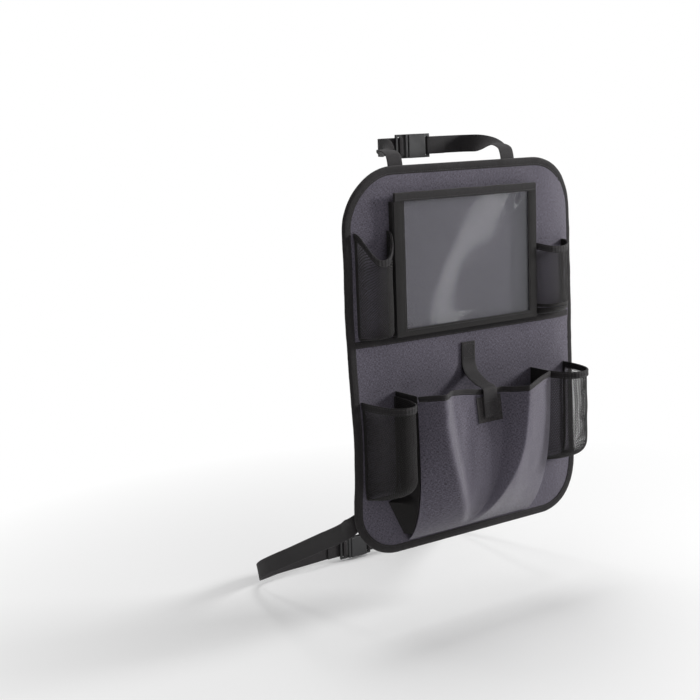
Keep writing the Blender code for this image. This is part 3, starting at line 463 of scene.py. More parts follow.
def panel_half_width(z):
    radius = TOP_CORNER_RADIUS if z > 0 else BOTTOM_CORNER_RADIUS
    into_corner = max(0.0, abs(z) - (PANEL_HEIGHT / 2 - radius))
    return PANEL_WIDTH / 2 - radius + math.sqrt(max(0.0, radius**2 - into_corner**2))


def panel_levels(corner_rows, straight_rows):
    """Heights of the panel's rows, closer together in its round corners."""
    bottom, top = -PANEL_HEIGHT / 2, PANEL_HEIGHT / 2
    turn = [math.pi / 2 * k / corner_rows for k in range(corner_rows)]
    low = [bottom + BOTTOM_CORNER_RADIUS * (1 - math.cos(angle)) for angle in turn]
    high = [top - TOP_CORNER_RADIUS * (1 - math.cos(angle)) for angle in turn]
    straight = evenly(bottom + BOTTOM_CORNER_RADIUS, top - TOP_CORNER_RADIUS, straight_rows)
    return low + straight + high[::-1]


def drape(x, z):
    """How far the panel lies behind its flat middle at a point."""
    reach = max(0.0, abs(x) - FLAT_HALF_WIDTH) / (PANEL_WIDTH / 2 - FLAT_HALF_WIDTH)
    if x > 0:
        wrap = RIGHT_WRAP * (0.6 + 0.4 * z / (PANEL_HEIGHT / 2))
    else:
        wrap = LEFT_WRAP - BOTTLE_PULL * bump(z, BOTTLE_MIDDLE_Z, BOTTLE_PULL_REACH)
    above = max(0.0, z - FLAT_TOP_Z) / (PANEL_HEIGHT / 2 - FLAT_TOP_Z)
    below = max(0.0, FLAT_BOTTOM_Z - z) / (PANEL_HEIGHT / 2 + FLAT_BOTTOM_Z)
    return wrap * reach**2 + TOP_WRAP * above**2 + BOTTOM_WRAP * below**2


def lie(x, z):
    """The drape with the cloth's soft waves in its margins."""
    margin = max(soft_step(abs(x + 0.006), 0.150, 0.180), 0.8 * soft_step(z, 0.236, 0.252))
    ripple = 0.0012 * waves(x, z, 0.055, 3.1) + 0.0005 * waves(x, z, 0.020, 8.7)
    return drape(x, z) + margin * ripple


def in_front(depth):
    return -PANEL_THICKNESS - depth


def spot_at(x, depth, z):
    """A place at a depth in front of the panel's flat middle."""
    return Vector((x, in_front(depth), z))


# Mesh builders


def new_object(name, mesh, material, smooth=60):
    mesh.materials.clear()
    mesh.materials.append(material)
    mesh.shade_smooth()
    mesh.set_sharp_from_angle(angle=math.radians(smooth))
    item = bpy.data.objects.new(name, mesh)
    bpy.context.scene.collection.objects.link(item)
    return item


def make_mesh(name, places, cloth, faces):
    """A mesh with the cloth's own coordinates stored at its corners; unused points are dropped."""
    used = sorted({index for face in faces for index in face})
    order = {index: place for place, index in enumerate(used)}
    mesh = bpy.data.meshes.new(name)
    mesh.from_pydata(
        [places[k] for k in used], [], [tuple(order[k] for k in face) for face in faces]
    )
    layer = mesh.attributes.new("cloth", "FLOAT_VECTOR", "POINT")
    values = np.array([(*cloth[k], 0.0) for k in used], np.float32)
    layer.data.foreach_set("vector", values.ravel())
    return mesh


def thicken(item, thickness, offset=-1.0, even=True):
    """Gives a cloth its thickness and keeps the result as its mesh."""
    solidify = item.modifiers.new("fabric", "SOLIDIFY")
    solidify.thickness = thickness
    solidify.offset = offset
    solidify.use_even_offset = even
    graph = bpy.context.evaluated_depsgraph_get()
    mesh = bpy.data.meshes.new_from_object(item.evaluated_get(graph))
    item.modifiers.clear()
    item.data = mesh
    mesh.set_sharp_from_angle(angle=math.radians(60))


def sheet(name, place, us, vs, size, thickness, material, keep=None):
    """A cloth from a grid of places; us run to the right and vs up, seen from its outer side."""
    places = [place(u, v) for v in vs for u in us]
    cloth = [(u * size[0], v * size[1]) for v in vs for u in us]
    columns = len(us)
    faces = []
    for row in range(len(vs) - 1):
        for column in range(columns - 1):
            middle = (us[column] + us[column + 1]) / 2, (vs[row] + vs[row + 1]) / 2
            if keep is None or keep(*middle):
                first = row * columns + column
                faces.append((first, first + 1, first + columns + 1, first + columns))
    item = new_object(name, make_mesh(name, places, cloth, faces), material)
    thicken(item, thickness)
    return item


def sweep(name, stations, section, material, ring=False, smooth=60):
    """A band: a closed section of (across, out) points carried along stations of place, across, out.

    The section's points run counter-clockwise, seen with the band coming towards the viewer.
    """
    count = len(section)
    around = [0.0]
    for first, second in zip(section, section[1:]):
        around.append(around[-1] + math.dist(first, second))
    places, cloth, faces = [], [], []
    travelled = 0.0
    for index, (place, across, out) in enumerate(stations):
        if index:
            travelled += (place - stations[index - 1][0]).length
        places += [place + a * across + b * out for a, b in section]
        cloth += [(a, travelled) for a, b in section]
    turns = len(stations) if ring else len(stations) - 1
    for index in range(turns):
        here = index * count
        there = ((index + 1) % len(stations)) * count
        for k in range(count):
            after = (k + 1) % count
            faces.append((here + k, here + after, there + after, there + k))
    if not ring:
        faces.append(tuple(range(count))[::-1])
        last = (len(stations) - 1) * count
        faces.append(tuple(last + k for k in range(count)))
    return new_object(name, make_mesh(name, places, cloth, faces), material, smooth)


def band_section(width, thickness, crown=0.0, points=6):
    """A flat band's section with round edges; crown makes its two faces bulge."""
    half = width / 2
    radius = thickness / 2
    inner = half - radius
    upper = [(x, radius + crown * (1 - (x / half) ** 2)) for x in evenly(-inner, inner, points)]
    lower = [(x, -y) for x, y in reversed(upper)]
    right = [(inner + radius * math.cos(a), radius * math.sin(a)) for a in (0.8, 0.0, -0.8)]
    left = [(-x, -y) for x, y in right]
    return upper + right + lower + left


SEAMS = []  # rows of stitches: lists of (place, outward direction)


def sew(stations, shift, lift, face=1):
    """A row of stitches beside a band's middle line, on its outer face or, with -1, its inner one."""
    SEAMS.append([(p + across * shift + out * lift * face, out * face) for p, across, out in stations])


def stitching(name):
    """Every row of stitches as one mesh of short, slightly humped threads."""
    places, cloth, faces = [], [], []
    sides = 5
    profile = [(-0.5, 0.45, 0.1), (-0.3, 1.0, 0.8), (0.0, 1.0, 1.2), (0.3, 1.0, 0.8), (0.5, 0.45, 0.1)]
    for row in SEAMS:
        spots = np.array([place for place, out in row])
        outs = np.array([out for place, out in row])
        run = run_along(spots)

        def on_row(travelled, values):
            return np.array([np.interp(travelled, run, values[:, k]) for k in range(3)])

        count = max(1, int(run[-1] // STITCH_PITCH))
        for number in range(count):
            middle = (number + 0.5) * run[-1] / count
            base = len(places)
            for along, girth, rise in profile:
                at = min(run[-1], max(0.0, middle + along * STITCH_LENGTH))
                out = Vector(on_row(at, outs)).normalized()
                ahead = on_row(min(run[-1], at + 0.0008), spots)
                behind = on_row(max(0.0, at - 0.0008), spots)
                side = Vector(ahead - behind).cross(out).normalized()
                centre = Vector(on_row(at, spots)) + out * STITCH_RADIUS * rise
                for turn in range(sides):
                    angle = 2 * math.pi * turn / sides
                    offset = side * math.cos(angle) + out * math.sin(angle)
                    places.append(centre + offset * STITCH_RADIUS * girth)
                    cloth.append((angle * STITCH_RADIUS, at))
            for ring in range(len(profile) - 1):
                for turn in range(sides):
                    after = (turn + 1) % sides
                    first = base + ring * sides
                    second = first + sides
                    faces.append((first + turn, second + turn, second + after, first + after))
            faces.append(tuple(base + k for k in range(sides)))
            last = base + (len(profile) - 1) * sides
            faces.append(tuple(last + k for k in range(sides))[::-1])
    return new_object(name, make_mesh(name, places, cloth, faces), THREAD)


def dress(item, slot, *nodes):
    """Makes a piece part of the organizer, in the place of its model solids."""
    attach(item, "root")
    if nodes:
        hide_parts(*nodes)
    return item


# Panel, binding and tape

FRONT = Vector((0, -1, 0))
UP = Vector((0, 0, 1))
RIGHT = Vector((1, 0, 0))


def panel_slack(x, z):
    """Creases of the panel's front cloth between the pockets, all behind its flat face."""
    between = soft_step(z, -0.060, -0.035) * (1 - soft_step(z, 0.018, 0.029))
    middle = between * (1 - soft_step(abs(x + 0.008), 0.110, 0.130))
    folds = 0.5 + 0.5 * waves(x + 0.6 * z, z, 0.034, 5.5)
    pull = bump(x - TAB_X, 0.35 * (z - TAB_TOP_Z), 0.018) * bump(z, -0.045, 0.030)
    return middle * (0.0013 * folds + 0.0010 * pull)


def pucker(x, z):
    """Small puckers beside the stitched binding."""
    inside = min(panel_half_width(z) - abs(x), PANEL_HEIGHT / 2 - abs(z))
    near = bump(inside, BINDING_WIDTH + 0.004, 0.009)
    return 0.00035 * near * waves(x, z, 0.0075, 2.2)


def build_panel():
    levels = panel_levels(16, 116)
    height = levels[-1] - levels[0]

    def place(u, v):
        z = levels[0] + v * height
        x = (2 * u - 1) * panel_half_width(z)
        y = in_front(0) + lie(x, z) + panel_slack(x, z) + pucker(x, z)
        return Vector((x, y, z))

    us = shares(120)
    vs = [(z - levels[0]) / height for z in levels]
    panel = sheet("panel_cloth", place, us, vs, (PANEL_WIDTH, height), PANEL_THICKNESS - 0.0002, HEATHER)
    return dress(panel, "heather_fabric", "back_panel")


def outline_stations():
    """Places and outward directions along the panel's outline, up the left side and round."""
    levels = panel_levels(24, 60)
    left = [(-panel_half_width(z), z) for z in levels]
    points = np.array(left + [(-x, z) for x, z in reversed(left)] + left[:1])
    run = run_along(points)
    count = int(run[-1] / OUTLINE_SPACING)
    at = [run[-1] * k / count for k in range(count)]
    spots = [Vector((np.interp(s, run, points[:, 0]), np.interp(s, run, points[:, 1]))) for s in at]
    stations = []
    for k, spot in enumerate(spots):
        along = (spots[(k + 1) % count] - spots[k - 1]).normalized()
        stations.append((spot, Vector((-along.y, along.x))))
    return stations


def build_binding():
    flange = PANEL_THICKNESS / 2 + 2 * SEAM_GAP + BINDING_FABRIC
    fold = PANEL_THICKNESS / 2 + BINDING_STANDS
    turn = evenly(-math.pi / 2, math.pi / 2, 6)
    front = [(-BINDING_SHOWN, -flange + 0.0002), (-BINDING_SHOWN + 0.0006, -flange - 0.0001)]
    front += [(-0.0062, -flange + 0.00015), (-0.0046, -flange - 0.0003), (-0.0025, -fold - 0.0001)]
    back = [(x, -y) for x, y in reversed(front)]
    outer = front + [(fold * math.cos(a), fold * math.sin(a)) for a in turn] + back
    thin = fold - BINDING_FABRIC
    low = flange - BINDING_FABRIC
    inner = [(-BINDING_SHOWN, low), (-0.004, low), (0.0, thin)]
    inner += [(thin * math.cos(a), thin * math.sin(a)) for a in turn[-2:0:-1]]
    inner += [(0.0, -thin), (-0.004, -low), (-BINDING_SHOWN, -low)]
    stations = []
    for number, (spot, normal) in enumerate(outline_stations()):
        wave = 0.00022 * noise.noise(Vector(((number + 1) * OUTLINE_SPACING / 0.006, 0.3, 1.7)))
        place = Vector((spot.x, lie(spot.x, spot.y) - PANEL_THICKNESS / 2 + wave, spot.y))
        stations.append((place, Vector((normal.x, 0, normal.y)), -FRONT))
    for face in (-1, 1):
        sew(stations + stations[:1], -BINDING_SEAM, flange - 0.0002, face)
    section = (outer + inner)[::-1]
    binding = sweep("binding", stations, section, BINDING, ring=True)
    return dress(binding, "black_fabric", "edge_binding")


def build_tape():
    half = PANEL_WIDTH / 2 - BINDING_SHOWN - SEAM_GAP
    depth = SEAM_GAP + TAPE_THICKNESS / 2
    stations = []
    for x in evenly(-half, half, 200):
        z = TAPE_TOP_Z - TAPE_WIDTH / 2
        wave = 0.0002 * waves(x, z, 0.009, 4.4)
        stations.append((Vector((x, in_front(depth) + lie(x, z), z + wave)), UP, FRONT))
    for shift in (-EDGE_SEAM, EDGE_SEAM):
        sew(stations, shift, TAPE_THICKNESS * 0.5)
    tape = sweep("seam_tape", stations, band_section(TAPE_WIDTH, TAPE_THICKNESS), BINDING)
    return dress(tape, "black_fabric", "cross_seam_tape")


# Tablet pocket


def mouth_gather(x, z):
    """The crumple at the right end of the tablet pocket's mouth."""
    right, top = WINDOW_RIGHT_X - 0.012, TABLET_TOP_Z - 0.006
    reach = math.hypot(x - right, 1.3 * (z - top))
    folds = math.sin(math.atan2(z - top - 0.02, x - right) * 9.0)
    return 0.0011 * math.exp(-((reach / 0.022) ** 2)) * folds


def build_tablet_frame():
    left, right = TABLET_LEFT_X, TABLET_RIGHT_X
    bottom, top = TABLET_BOTTOM_Z, TABLET_TOP_Z - TOP_BAND_FABRIC - SEAM_GAP
    xs = evenly(left, WINDOW_LEFT_X, 8) + evenly(WINDOW_LEFT_X, WINDOW_RIGHT_X, 90)[1:]
    xs += evenly(WINDOW_RIGHT_X, right, 8)[1:]
    zs = evenly(bottom, WINDOW_BOTTOM_Z, 5) + evenly(WINDOW_BOTTOM_Z, WINDOW_TOP_Z, 80)[1:]
    zs += evenly(WINDOW_TOP_Z, top, 5)[1:]
    size = (right - left, top - bottom)

    def place(u, v):
        x, z = left + u * size[0], bottom + v * size[1]
        strip = 0.0
        if z < WINDOW_TOP_Z:
            inward = min(x - left, right - x, z - bottom)
            strip = 0.0005 * math.sin(math.pi * min(1.0, max(0.0, inward / 0.015)))
        sag = 0.0005 * waves(x, z, 0.040, 6.3) * soft_step(TABLET_TOP_Z - z, 0.012, 0.022)
        y = in_front(TABLET_DEPTH) + drape(x, z) - strip - max(0.0, sag)
        return Vector((x, y, z))

    def keep(u, v):
        x, z = left + u * size[0], bottom + v * size[1]
        inside = WINDOW_LEFT_X < x < WINDOW_RIGHT_X and WINDOW_BOTTOM_Z < z < WINDOW_TOP_Z
        return not inside

    us = [(x - left) / size[0] for x in xs]
    vs = [(z - bottom) / size[1] for z in zs]
    cloth = sheet("tablet_frame_cloth", place, us, vs, size, FRAME_THICKNESS, LINING, keep)
    low, high = WINDOW_BOTTOM_Z - WINDOW_SEAM, TABLET_TOP_Z - TOP_BAND_HEIGHT
    first, last = WINDOW_LEFT_X - WINDOW_SEAM, WINDOW_RIGHT_X + WINDOW_SEAM
    path = [(first, z) for z in evenly(high, low, 60)] + [(x, low) for x in evenly(first, last, 70)[1:]]
    path += [(last, z) for z in evenly(low, high, 60)[1:]]
    SEAMS.append([(place((x - left) / size[0], (z - bottom) / size[1]), FRONT) for x, z in path])
    return dress(cloth, "black_fabric", "tablet_pocket_frame")


def build_tablet_wall():
    high = TABLET_TOP_Z - TOP_BAND_HEIGHT
    radius = 0.003
    left, right, low = TABLET_LEFT_X, TABLET_RIGHT_X, TABLET_BOTTOM_Z
    corner = [math.pi / 2 * k / 6 for k in range(7)]
    path = [(left, z) for z in evenly(high, low + radius, 50)[:-1]]
    path += [(left + radius * (1 - math.cos(a)), low + radius * (1 - math.sin(a))) for a in corner]
    path += [(x, low) for x in evenly(left + radius, right - radius, 60)[1:-1]]
    path += [(right - radius * (1 - math.sin(a)), low + radius * (1 - math.cos(a))) for a in corner]
    path += [(right, z) for z in evenly(low + radius, high, 50)[1:]]
    front = in_front(FRAME_BACK - SEAM_GAP)
    back = in_front(SEAM_GAP)
    middle_x = (left + right) / 2
    length = 2 * (high - low) + right - left

    def place(u, v):
        x, z = path[round(u * (len(path) - 1))]
        bow = 0.0011 * math.sin(math.pi * v) * (1 + 0.6 * waves(x, z, 0.03, 1.1))
        if z > low + radius:
            x += math.copysign(bow, middle_x - x)
        return Vector((x, blend(back, front, v) + drape(x, z), z))

    us = shares(len(path) - 1)
    size = (length, TABLET_DEPTH)
    wall = sheet("tablet_wall_cloth", place, us, shares(6), size, WALL_FABRIC, LINING)
    return dress(wall, "black_fabric", "tablet_pocket_wall")


def build_top_band():
    fabric = TOP_BAND_FABRIC
    low = TABLET_TOP_Z - TOP_BAND_HEIGHT
    front = TABLET_DEPTH + SEAM_GAP + fabric
    back = FRAME_BACK - SEAM_GAP - WINDOW_FILM - SEAM_GAP - fabric
    middle = (front + back) / 2
    half = (front - back) / 2
    turn = evenly(0.0, math.pi, 6)
    outer = [(low, half), (low + 0.004, half + 0.0001)]
    outer += [(TABLET_TOP_Z - half + half * math.sin(a), half * math.cos(a)) for a in turn]
    outer += [(low, -half)]
    thin = half - fabric
    inner = [(low, -thin)]
    inner += [(TABLET_TOP_Z - half + thin * math.sin(a), thin * math.cos(a)) for a in turn[::-1]]
    inner += [(low, thin)]
    section = [(z - TABLET_TOP_Z, out) for z, out in outer + inner]
    left = TABLET_LEFT_X + WALL_FABRIC + SEAM_GAP
    right = TABLET_RIGHT_X - WALL_FABRIC - SEAM_GAP
    stations = []
    for x in evenly(left, right, 150):
        z = TABLET_TOP_Z + 0.0005 * waves(x, 0.0, 0.030, 9.1)
        stations.append((Vector((x, in_front(middle) + drape(x, z), z)), UP, FRONT))
    sew(stations, -MOUTH_SEAM, half + 0.00005)
    band = sweep("mouth_band", stations, section[::-1], BINDING)
    return dress(band, "black_fabric", "tablet_pocket_top_band")


def build_window():
    left, right = WINDOW_LEFT_X - WINDOW_OVERLAP, WINDOW_RIGHT_X + WINDOW_OVERLAP
    bottom, top = WINDOW_BOTTOM_Z - WINDOW_OVERLAP, TABLET_TOP_Z - TOP_BAND_FABRIC - SEAM_GAP
    size = (right - left, top - bottom)

    def place(u, v):
        x, z = left + u * size[0], bottom + v * size[1]
        inset = min(x - WINDOW_LEFT_X, WINDOW_RIGHT_X - x, z - WINDOW_BOTTOM_Z, WINDOW_TOP_Z - z)
        free = soft_step(inset, 0.001, 0.020)
        sag = free * (0.0007 * waves(x, z, 0.140, 2.9) + 0.00005 * waves(x, z, 0.040, 7.7))
        gather = mouth_gather(x, z) * soft_step(inset, 0.0005, 0.006)
        return Vector((x, in_front(FRAME_BACK - SEAM_GAP) + drape(x, z) + sag + gather, z))

    us, vs = shares(80), shares(66)
    film = sheet("window_film", place, us, vs, size, WINDOW_FILM, FILM)
    return dress(film, "clear_film", "tablet_window")


# Mesh pockets


class MeshPocket:
    """A bulged net pocket whose plan section is a round-cornered U on the panel."""

    def __init__(self, name, left, right, depth, low, rim, sag, rounding, squareness, pitch):
        self.name = name
        self.middle = (left + right) / 2
        self.half = (right - left) / 2
        self.depth = depth
        self.low = low
        self.rim = rim
        self.sag = sag
        self.rounding = rounding
        self.squareness = squareness
        self.pitch = pitch
        self.seed = left * 50
        level = blend(low, rim, 0.6)
        self.shares = np.linspace(0.0, 1.0, 600)
        self.run = run_along(np.array([self.point(share, level) for share in self.shares]))
        self.length = float(self.run[-1])
        self.height = rim - low

    def share_at(self, u):
        """The share of the U at an even step along its cloth."""
        return float(np.interp(u * self.length, self.run, self.shares))

    def rim_height(self, share):
        return self.rim - self.sag * math.sin(math.pi * share) ** 2

    def point(self, share, z, swell=0.0):
        angle = math.pi * (1 - share)
        rise = min(1.0, max(0.0, (z - self.low) / self.rounding))
        fullness = (1 - (1 - rise) ** 2) ** 0.6
        half = (self.half + swell) * (0.86 + 0.14 * fullness)
        x = self.middle + half * power(math.cos(angle), 2 / self.squareness)
        reach = (self.depth - 2 * MESH_FABRIC) * fullness + 2 * MESH_FABRIC + swell
        depth = SEAM_GAP + reach * power(math.sin(angle), 2 / self.squareness)
        return Vector((x, in_front(depth) + drape(x, z), z))

    def place(self, u, v, start, swell=0.0):
        """A place on the cloth from a height up to the rim, with its small unevenness."""
        share = self.share_at(u)
        z = blend(start, self.rim_height(share) - SEAM_GAP, v)
        free = math.sin(math.pi * share) * soft_step(v, 0.0, 0.2)
        uneven = 0.0011 * free * waves(u * self.length, z, 0.028, self.seed)
        return self.point(share, z, swell + uneven)

    def net(self, start):
        """The open net: six-sided holes in staggered rows."""
        height = self.rim - start
        columns = round(self.length / self.pitch)
        rows = round(height / (self.pitch * 0.866))
        corners = [(0, 4), (3, 2), (3, -2), (0, -4), (-3, -2), (-3, 2)]
        places, cloth, faces, known = [], [], [], {}

        def vertex(across, up):
            key = (across, up)
            if key not in known:
                u = across / (6 * columns)
                v = (up + 4) / (6 * (rows - 1) + 8)
                known[key] = len(places)
                places.append(self.place(u, min(1.0, v), start))
                cloth.append((u * self.length, v * height))
            return known[key]

        for row in range(rows):
            for column in range(columns - row % 2):
                x, y = 6 * column + 3 + 3 * (row % 2), 6 * row
                outer = [vertex(x + a, y + b) for a, b in corners]
                inner = [vertex(x + a * NET_HOLE, y + b * NET_HOLE) for a, b in corners]
                for k in range(6):
                    after = (k + 1) % 6
                    faces.append((outer[after], outer[k], inner[k], inner[after]))
        mesh = make_mesh(self.name + "_net", places, cloth, faces)
        item = new_object(self.name + "_net", mesh, YARN)
        thicken(item, NET_THREAD, even=False)
        return item

    def hem(self, start):
        """The strips that hold the net's sides and bottom to the panel."""
        side = HEM_WIDTH / self.length
        foot = HEM_WIDTH / (self.rim - start)

        def place(u, v):
            return self.place(u, v, start, 0.0004)

        def keep(u, v):
            return u < side or u > 1 - side or v < foot

        us = [0.0, side / 2] + evenly(side, 1 - side, 60) + [1 - side / 2, 1.0]
        vs = [0.0, foot / 2] + evenly(foot, 1.0, 40)
        size = (self.length, self.height)
        return sheet(self.name + "_hem", place, us, vs, size, MESH_FABRIC, LINING, keep)

    def band(self):
        """The gathered elastic round the rim."""
        middle = SEAM_GAP + ELASTIC_THICKNESS / 2
        count = int(self.length / 0.0011)
        spots = []
        for k in range(count + 1):
            share = self.share_at(k / count)
            gather = 0.00028 * math.sin(2 * math.pi * k / 4.5) * math.sin(math.pi * share)
            z = self.rim_height(share) - ELASTIC_HEIGHT / 2
            spots.append(self.point(share, z, middle + gather))
        outs = [along.cross(UP).normalized() for along in headings(spots)]
        stations = [(spot, UP, out) for spot, out in zip(spots, outs)]
        for shift in (-EDGE_SEAM, EDGE_SEAM):
            sew(stations, shift, ELASTIC_THICKNESS * 0.55)
        section = band_section(ELASTIC_HEIGHT, ELASTIC_THICKNESS, 0.0001)
        return sweep(self.name + "_elastic", stations, section, ELASTIC)


def build_side_pockets():
    edge = PANEL_WIDTH / 2 - BINDING_WIDTH - ELASTIC_THICKNESS - 5 * SEAM_GAP
    right_edge = edge - RIGHT_POCKET_INSET
    upper_low = TAPE_TOP_Z + SEAM_GAP
    upper_left, upper_right = TABLET_LEFT_X - UPPER_INNER_CLEARANCE, TABLET_RIGHT_X + UPPER_INNER_CLEARANCE
    left, right = CENTRE_LEFT_X - BOTTLE_INNER_CLEARANCE, CENTRE_RIGHT_X + BOTTLE_INNER_CLEARANCE
    upper = (UPPER_ROUNDING, UPPER_SQUARENESS, UPPER_NET_PITCH)
    bottle = (BOTTLE_ROUNDING, BOTTLE_SQUARENESS, BOTTLE_NET_PITCH)
    rows = (
        ("upper_left", -edge, upper_left, UPPER_DEPTH, upper_low, UPPER_LEFT_RIM_Z, UPPER_LEFT_SAG, upper),
        ("upper_right", upper_right, right_edge, UPPER_DEPTH, upper_low, UPPER_RIGHT_RIM_Z,
         UPPER_RIGHT_SAG, upper),
        ("left_bottle", -edge, left, BOTTLE_DEPTH, BOTTLE_BOTTOM_Z, BOTTLE_LEFT_RIM_Z, 0.0, bottle),
        ("right_bottle", right, right_edge, BOTTLE_DEPTH, BOTTLE_BOTTOM_Z, BOTTLE_RIGHT_RIM_Z, 0.0, bottle),
    )
    pockets = [MeshPocket(name + "_pocket", *sizes, *form) for name, *sizes, form in rows]
    for pocket in pockets:
        start = pocket.low
        if pocket.name == "upper_right_pocket":
            start = upper_low + UPPER_BASE_HEIGHT + 3 * SEAM_GAP
            dress(pocket_base(pocket), "black_fabric", "upper_right_pocket_base")
        net = dress(pocket.net(start), "black_mesh", pocket.name + "_mesh")
        dress(pocket.hem(start), "black_fabric")
        dress(pocket.band(), "black_webbing", pocket.name + "_rim")


def pocket_base(pocket):
    """The closed cloth band along the bottom of a net pocket."""

    def place(u, v):
        share = pocket.share_at(u)
        z = pocket.low + UPPER_BASE_HEIGHT * v
        return pocket.point(share, z, 0.0002)

    size = (pocket.length, UPPER_BASE_HEIGHT)
    us, vs = shares(60), shares(8)
    return sheet(pocket.name + "_foot", place, us, vs, size, MESH_FABRIC, LINING)


# Centre pocket


def centre_rise(share):
    return (1 - (1 - share) ** 4) ** 0.8


def centre_edges(share):
    inset = CENTRE_FOOT_INSET * (1 - share) ** 2
    return CENTRE_LEFT_X + inset, CENTRE_RIGHT_X - inset


def centre_section(share):
    """Corners of the front's plan section, as (x, depth): two ridges with a valley between them."""
    left, right = centre_edges(share)
    sink = (1 - share) ** 2
    first = blend(CENTRE_LEFT_RIDGE_X, CENTRE_RIDGE_FOOT_X, sink)
    second = blend(CENTRE_RIGHT_RIDGE_X, CENTRE_RIDGE_FOOT_X, sink)
    valley = CENTRE_VALLEY * share**0.7
    corners = [(left, CENTRE_LEFT_DEPTH), (first, CENTRE_RIDGE_DEPTH)]
    for along, deep in VALLEY_SECTION:
        corners.append((blend(first, second, along), CENTRE_RIDGE_DEPTH - valley * deep))
    corners.append((second, CENTRE_RIDGE_DEPTH))
    corners.append((second + SHOULDER_WIDTH, CENTRE_RIDGE_DEPTH - SHOULDER_FALL))
    corners.append((right, CENTRE_RIGHT_DEPTH))
    return corners


def line_at(corners, x):
    index = 0
    while index < len(corners) - 2 and corners[index + 1][0] < x:
        index += 1
    (x_a, depth_a), (x_b, depth_b) = corners[index], corners[index + 1]
    return blend(depth_a, depth_b, (x - x_a) / max(x_b - x_a, 0.00001))


def centre_depth(x, share):
    """Depth of the pocket's front, with its ridges rounded."""
    corners = centre_section(share)
    steps = range(-ROUNDING_STEPS, ROUNDING_STEPS + 1)
    rounding = RIDGE_ROUNDING * (1 + 0.9 * soft_step(x, 0.0, 0.035))
    total = sum(line_at(corners, x + rounding * k / ROUNDING_STEPS) for k in steps)
    return SEAM_GAP + CENTRE_FABRIC + total / len(steps) * centre_rise(share)


def centre_rim_height(x):
    dip = CENTRE_RIM_DIP * bump(x, CENTRE_DIP_X, CENTRE_DIP_REACH)
    lift = CENTRE_RIM_LIFT * bump(x, CENTRE_LEFT_RIDGE_X, CENTRE_LIFT_REACH)
    return CENTRE_RIM_Z - dip + lift


def centre_front_top(x):
    return centre_rim_height(x) - CENTRE_RIM_HEIGHT - SEAM_GAP


def centre_x(column, share):
    """Where a column of the front's grid stands; the columns follow the ridges."""
    corners = centre_section(share)
    column = min(column, sum(CENTRE_COLUMNS))
    for index, steps in enumerate(CENTRE_COLUMNS):
        if column <= steps:
            return blend(corners[index][0], corners[index + 1][0], column / steps)
        column -= steps


def centre_folds(x, z, share):
    """Soft folds of the front's cloth, out from its smooth form, away from its patch."""
    left, right = centre_edges(share)
    across = (x - left) / (right - left)
    middle = math.exp(-(((x - TAB_X) / 0.030) ** 4)) * soft_step(z, -0.115, -0.095)
    free = math.sin(math.pi * min(1.0, max(0.0, across))) ** 0.5 * soft_step(share, 0.0, 0.12)
    free *= (1 - middle) * (1 - soft_step(share, 0.93, 1.0))
    fan = (x - TAB_X) / max(0.03, 0.06 - z)
    drawn = 0.0014 * noise.noise(Vector((fan * 7.0, z / 0.16, 4.0)))
    loose = 0.0010 * waves(x, z, 0.045, 1.3) + 0.0004 * waves(x, z, 0.016, 6.1)
    return free * (drawn + loose)


def centre_columns():
    """The grid's columns, and their even places along the cloth from 0 to 1."""
    columns = evenly(0.0, sum(CENTRE_COLUMNS), CENTRE_DETAIL * sum(CENTRE_COLUMNS))
    xs = [centre_x(column, 0.8) for column in columns]
    run = run_along(np.array([(x, centre_depth(x, 0.8)) for x in xs]))
    return columns, run / run[-1], float(run[-1])


def build_centre_front():
    columns, us, length = centre_columns()

    def place(u, v):
        share = v**1.15
        column = float(np.interp(u, us, columns))
        x = centre_x(column, share)
        z = blend(CENTRE_BOTTOM_Z, centre_front_top(centre_x(column, 1.0)), share)
        return spot_at(x, centre_depth(x, share) + centre_folds(x, z, share), z)

    size = (length, CENTRE_CLOTH_HEIGHT)
    front = sheet("pocket_front_cloth", place, list(us), shares(100), size, CENTRE_FABRIC, HEATHER)
    return dress(front, "heather_fabric", "centre_pocket_front"), size


def build_centre_rim():
    swell = (CENTRE_RIM_THICKNESS - CENTRE_FABRIC) / 2
    spots = []
    for column in evenly(0.0, sum(CENTRE_COLUMNS), 8 * sum(CENTRE_COLUMNS)):
        x = centre_x(column, 1.0)
        z = centre_rim_height(x) - CENTRE_RIM_HEIGHT / 2
        spots.append(spot_at(x, centre_depth(x, 1.0) + swell, z))
    stations = []
    for spot, along in zip(spots, headings(spots)):
        out = along.cross(UP).normalized()
        up = out.cross(along).normalized()
        stations.append((spot - out * CENTRE_RIM_THICKNESS / 2, up, out))
    for face in (1, -1):
        sew(stations, -RIM_SEAM, CENTRE_RIM_THICKNESS * 0.52, face)
    section = band_section(CENTRE_RIM_HEIGHT, CENTRE_RIM_THICKNESS)
    rim = sweep("pocket_front_rim", stations, section, BINDING)
    return dress(rim, "black_fabric", "centre_pocket_rim")


def fan_spread(z):
    widest = FAN_SLOPE * (FAN_TOP_Z - CENTRE_BOTTOM_Z)
    if z < FAN_TOP_Z:
        return FAN_SLOPE * (z - CENTRE_BOTTOM_Z)
    return widest * max(0.0, (FAN_END_Z - z) / FAN_FOLD)


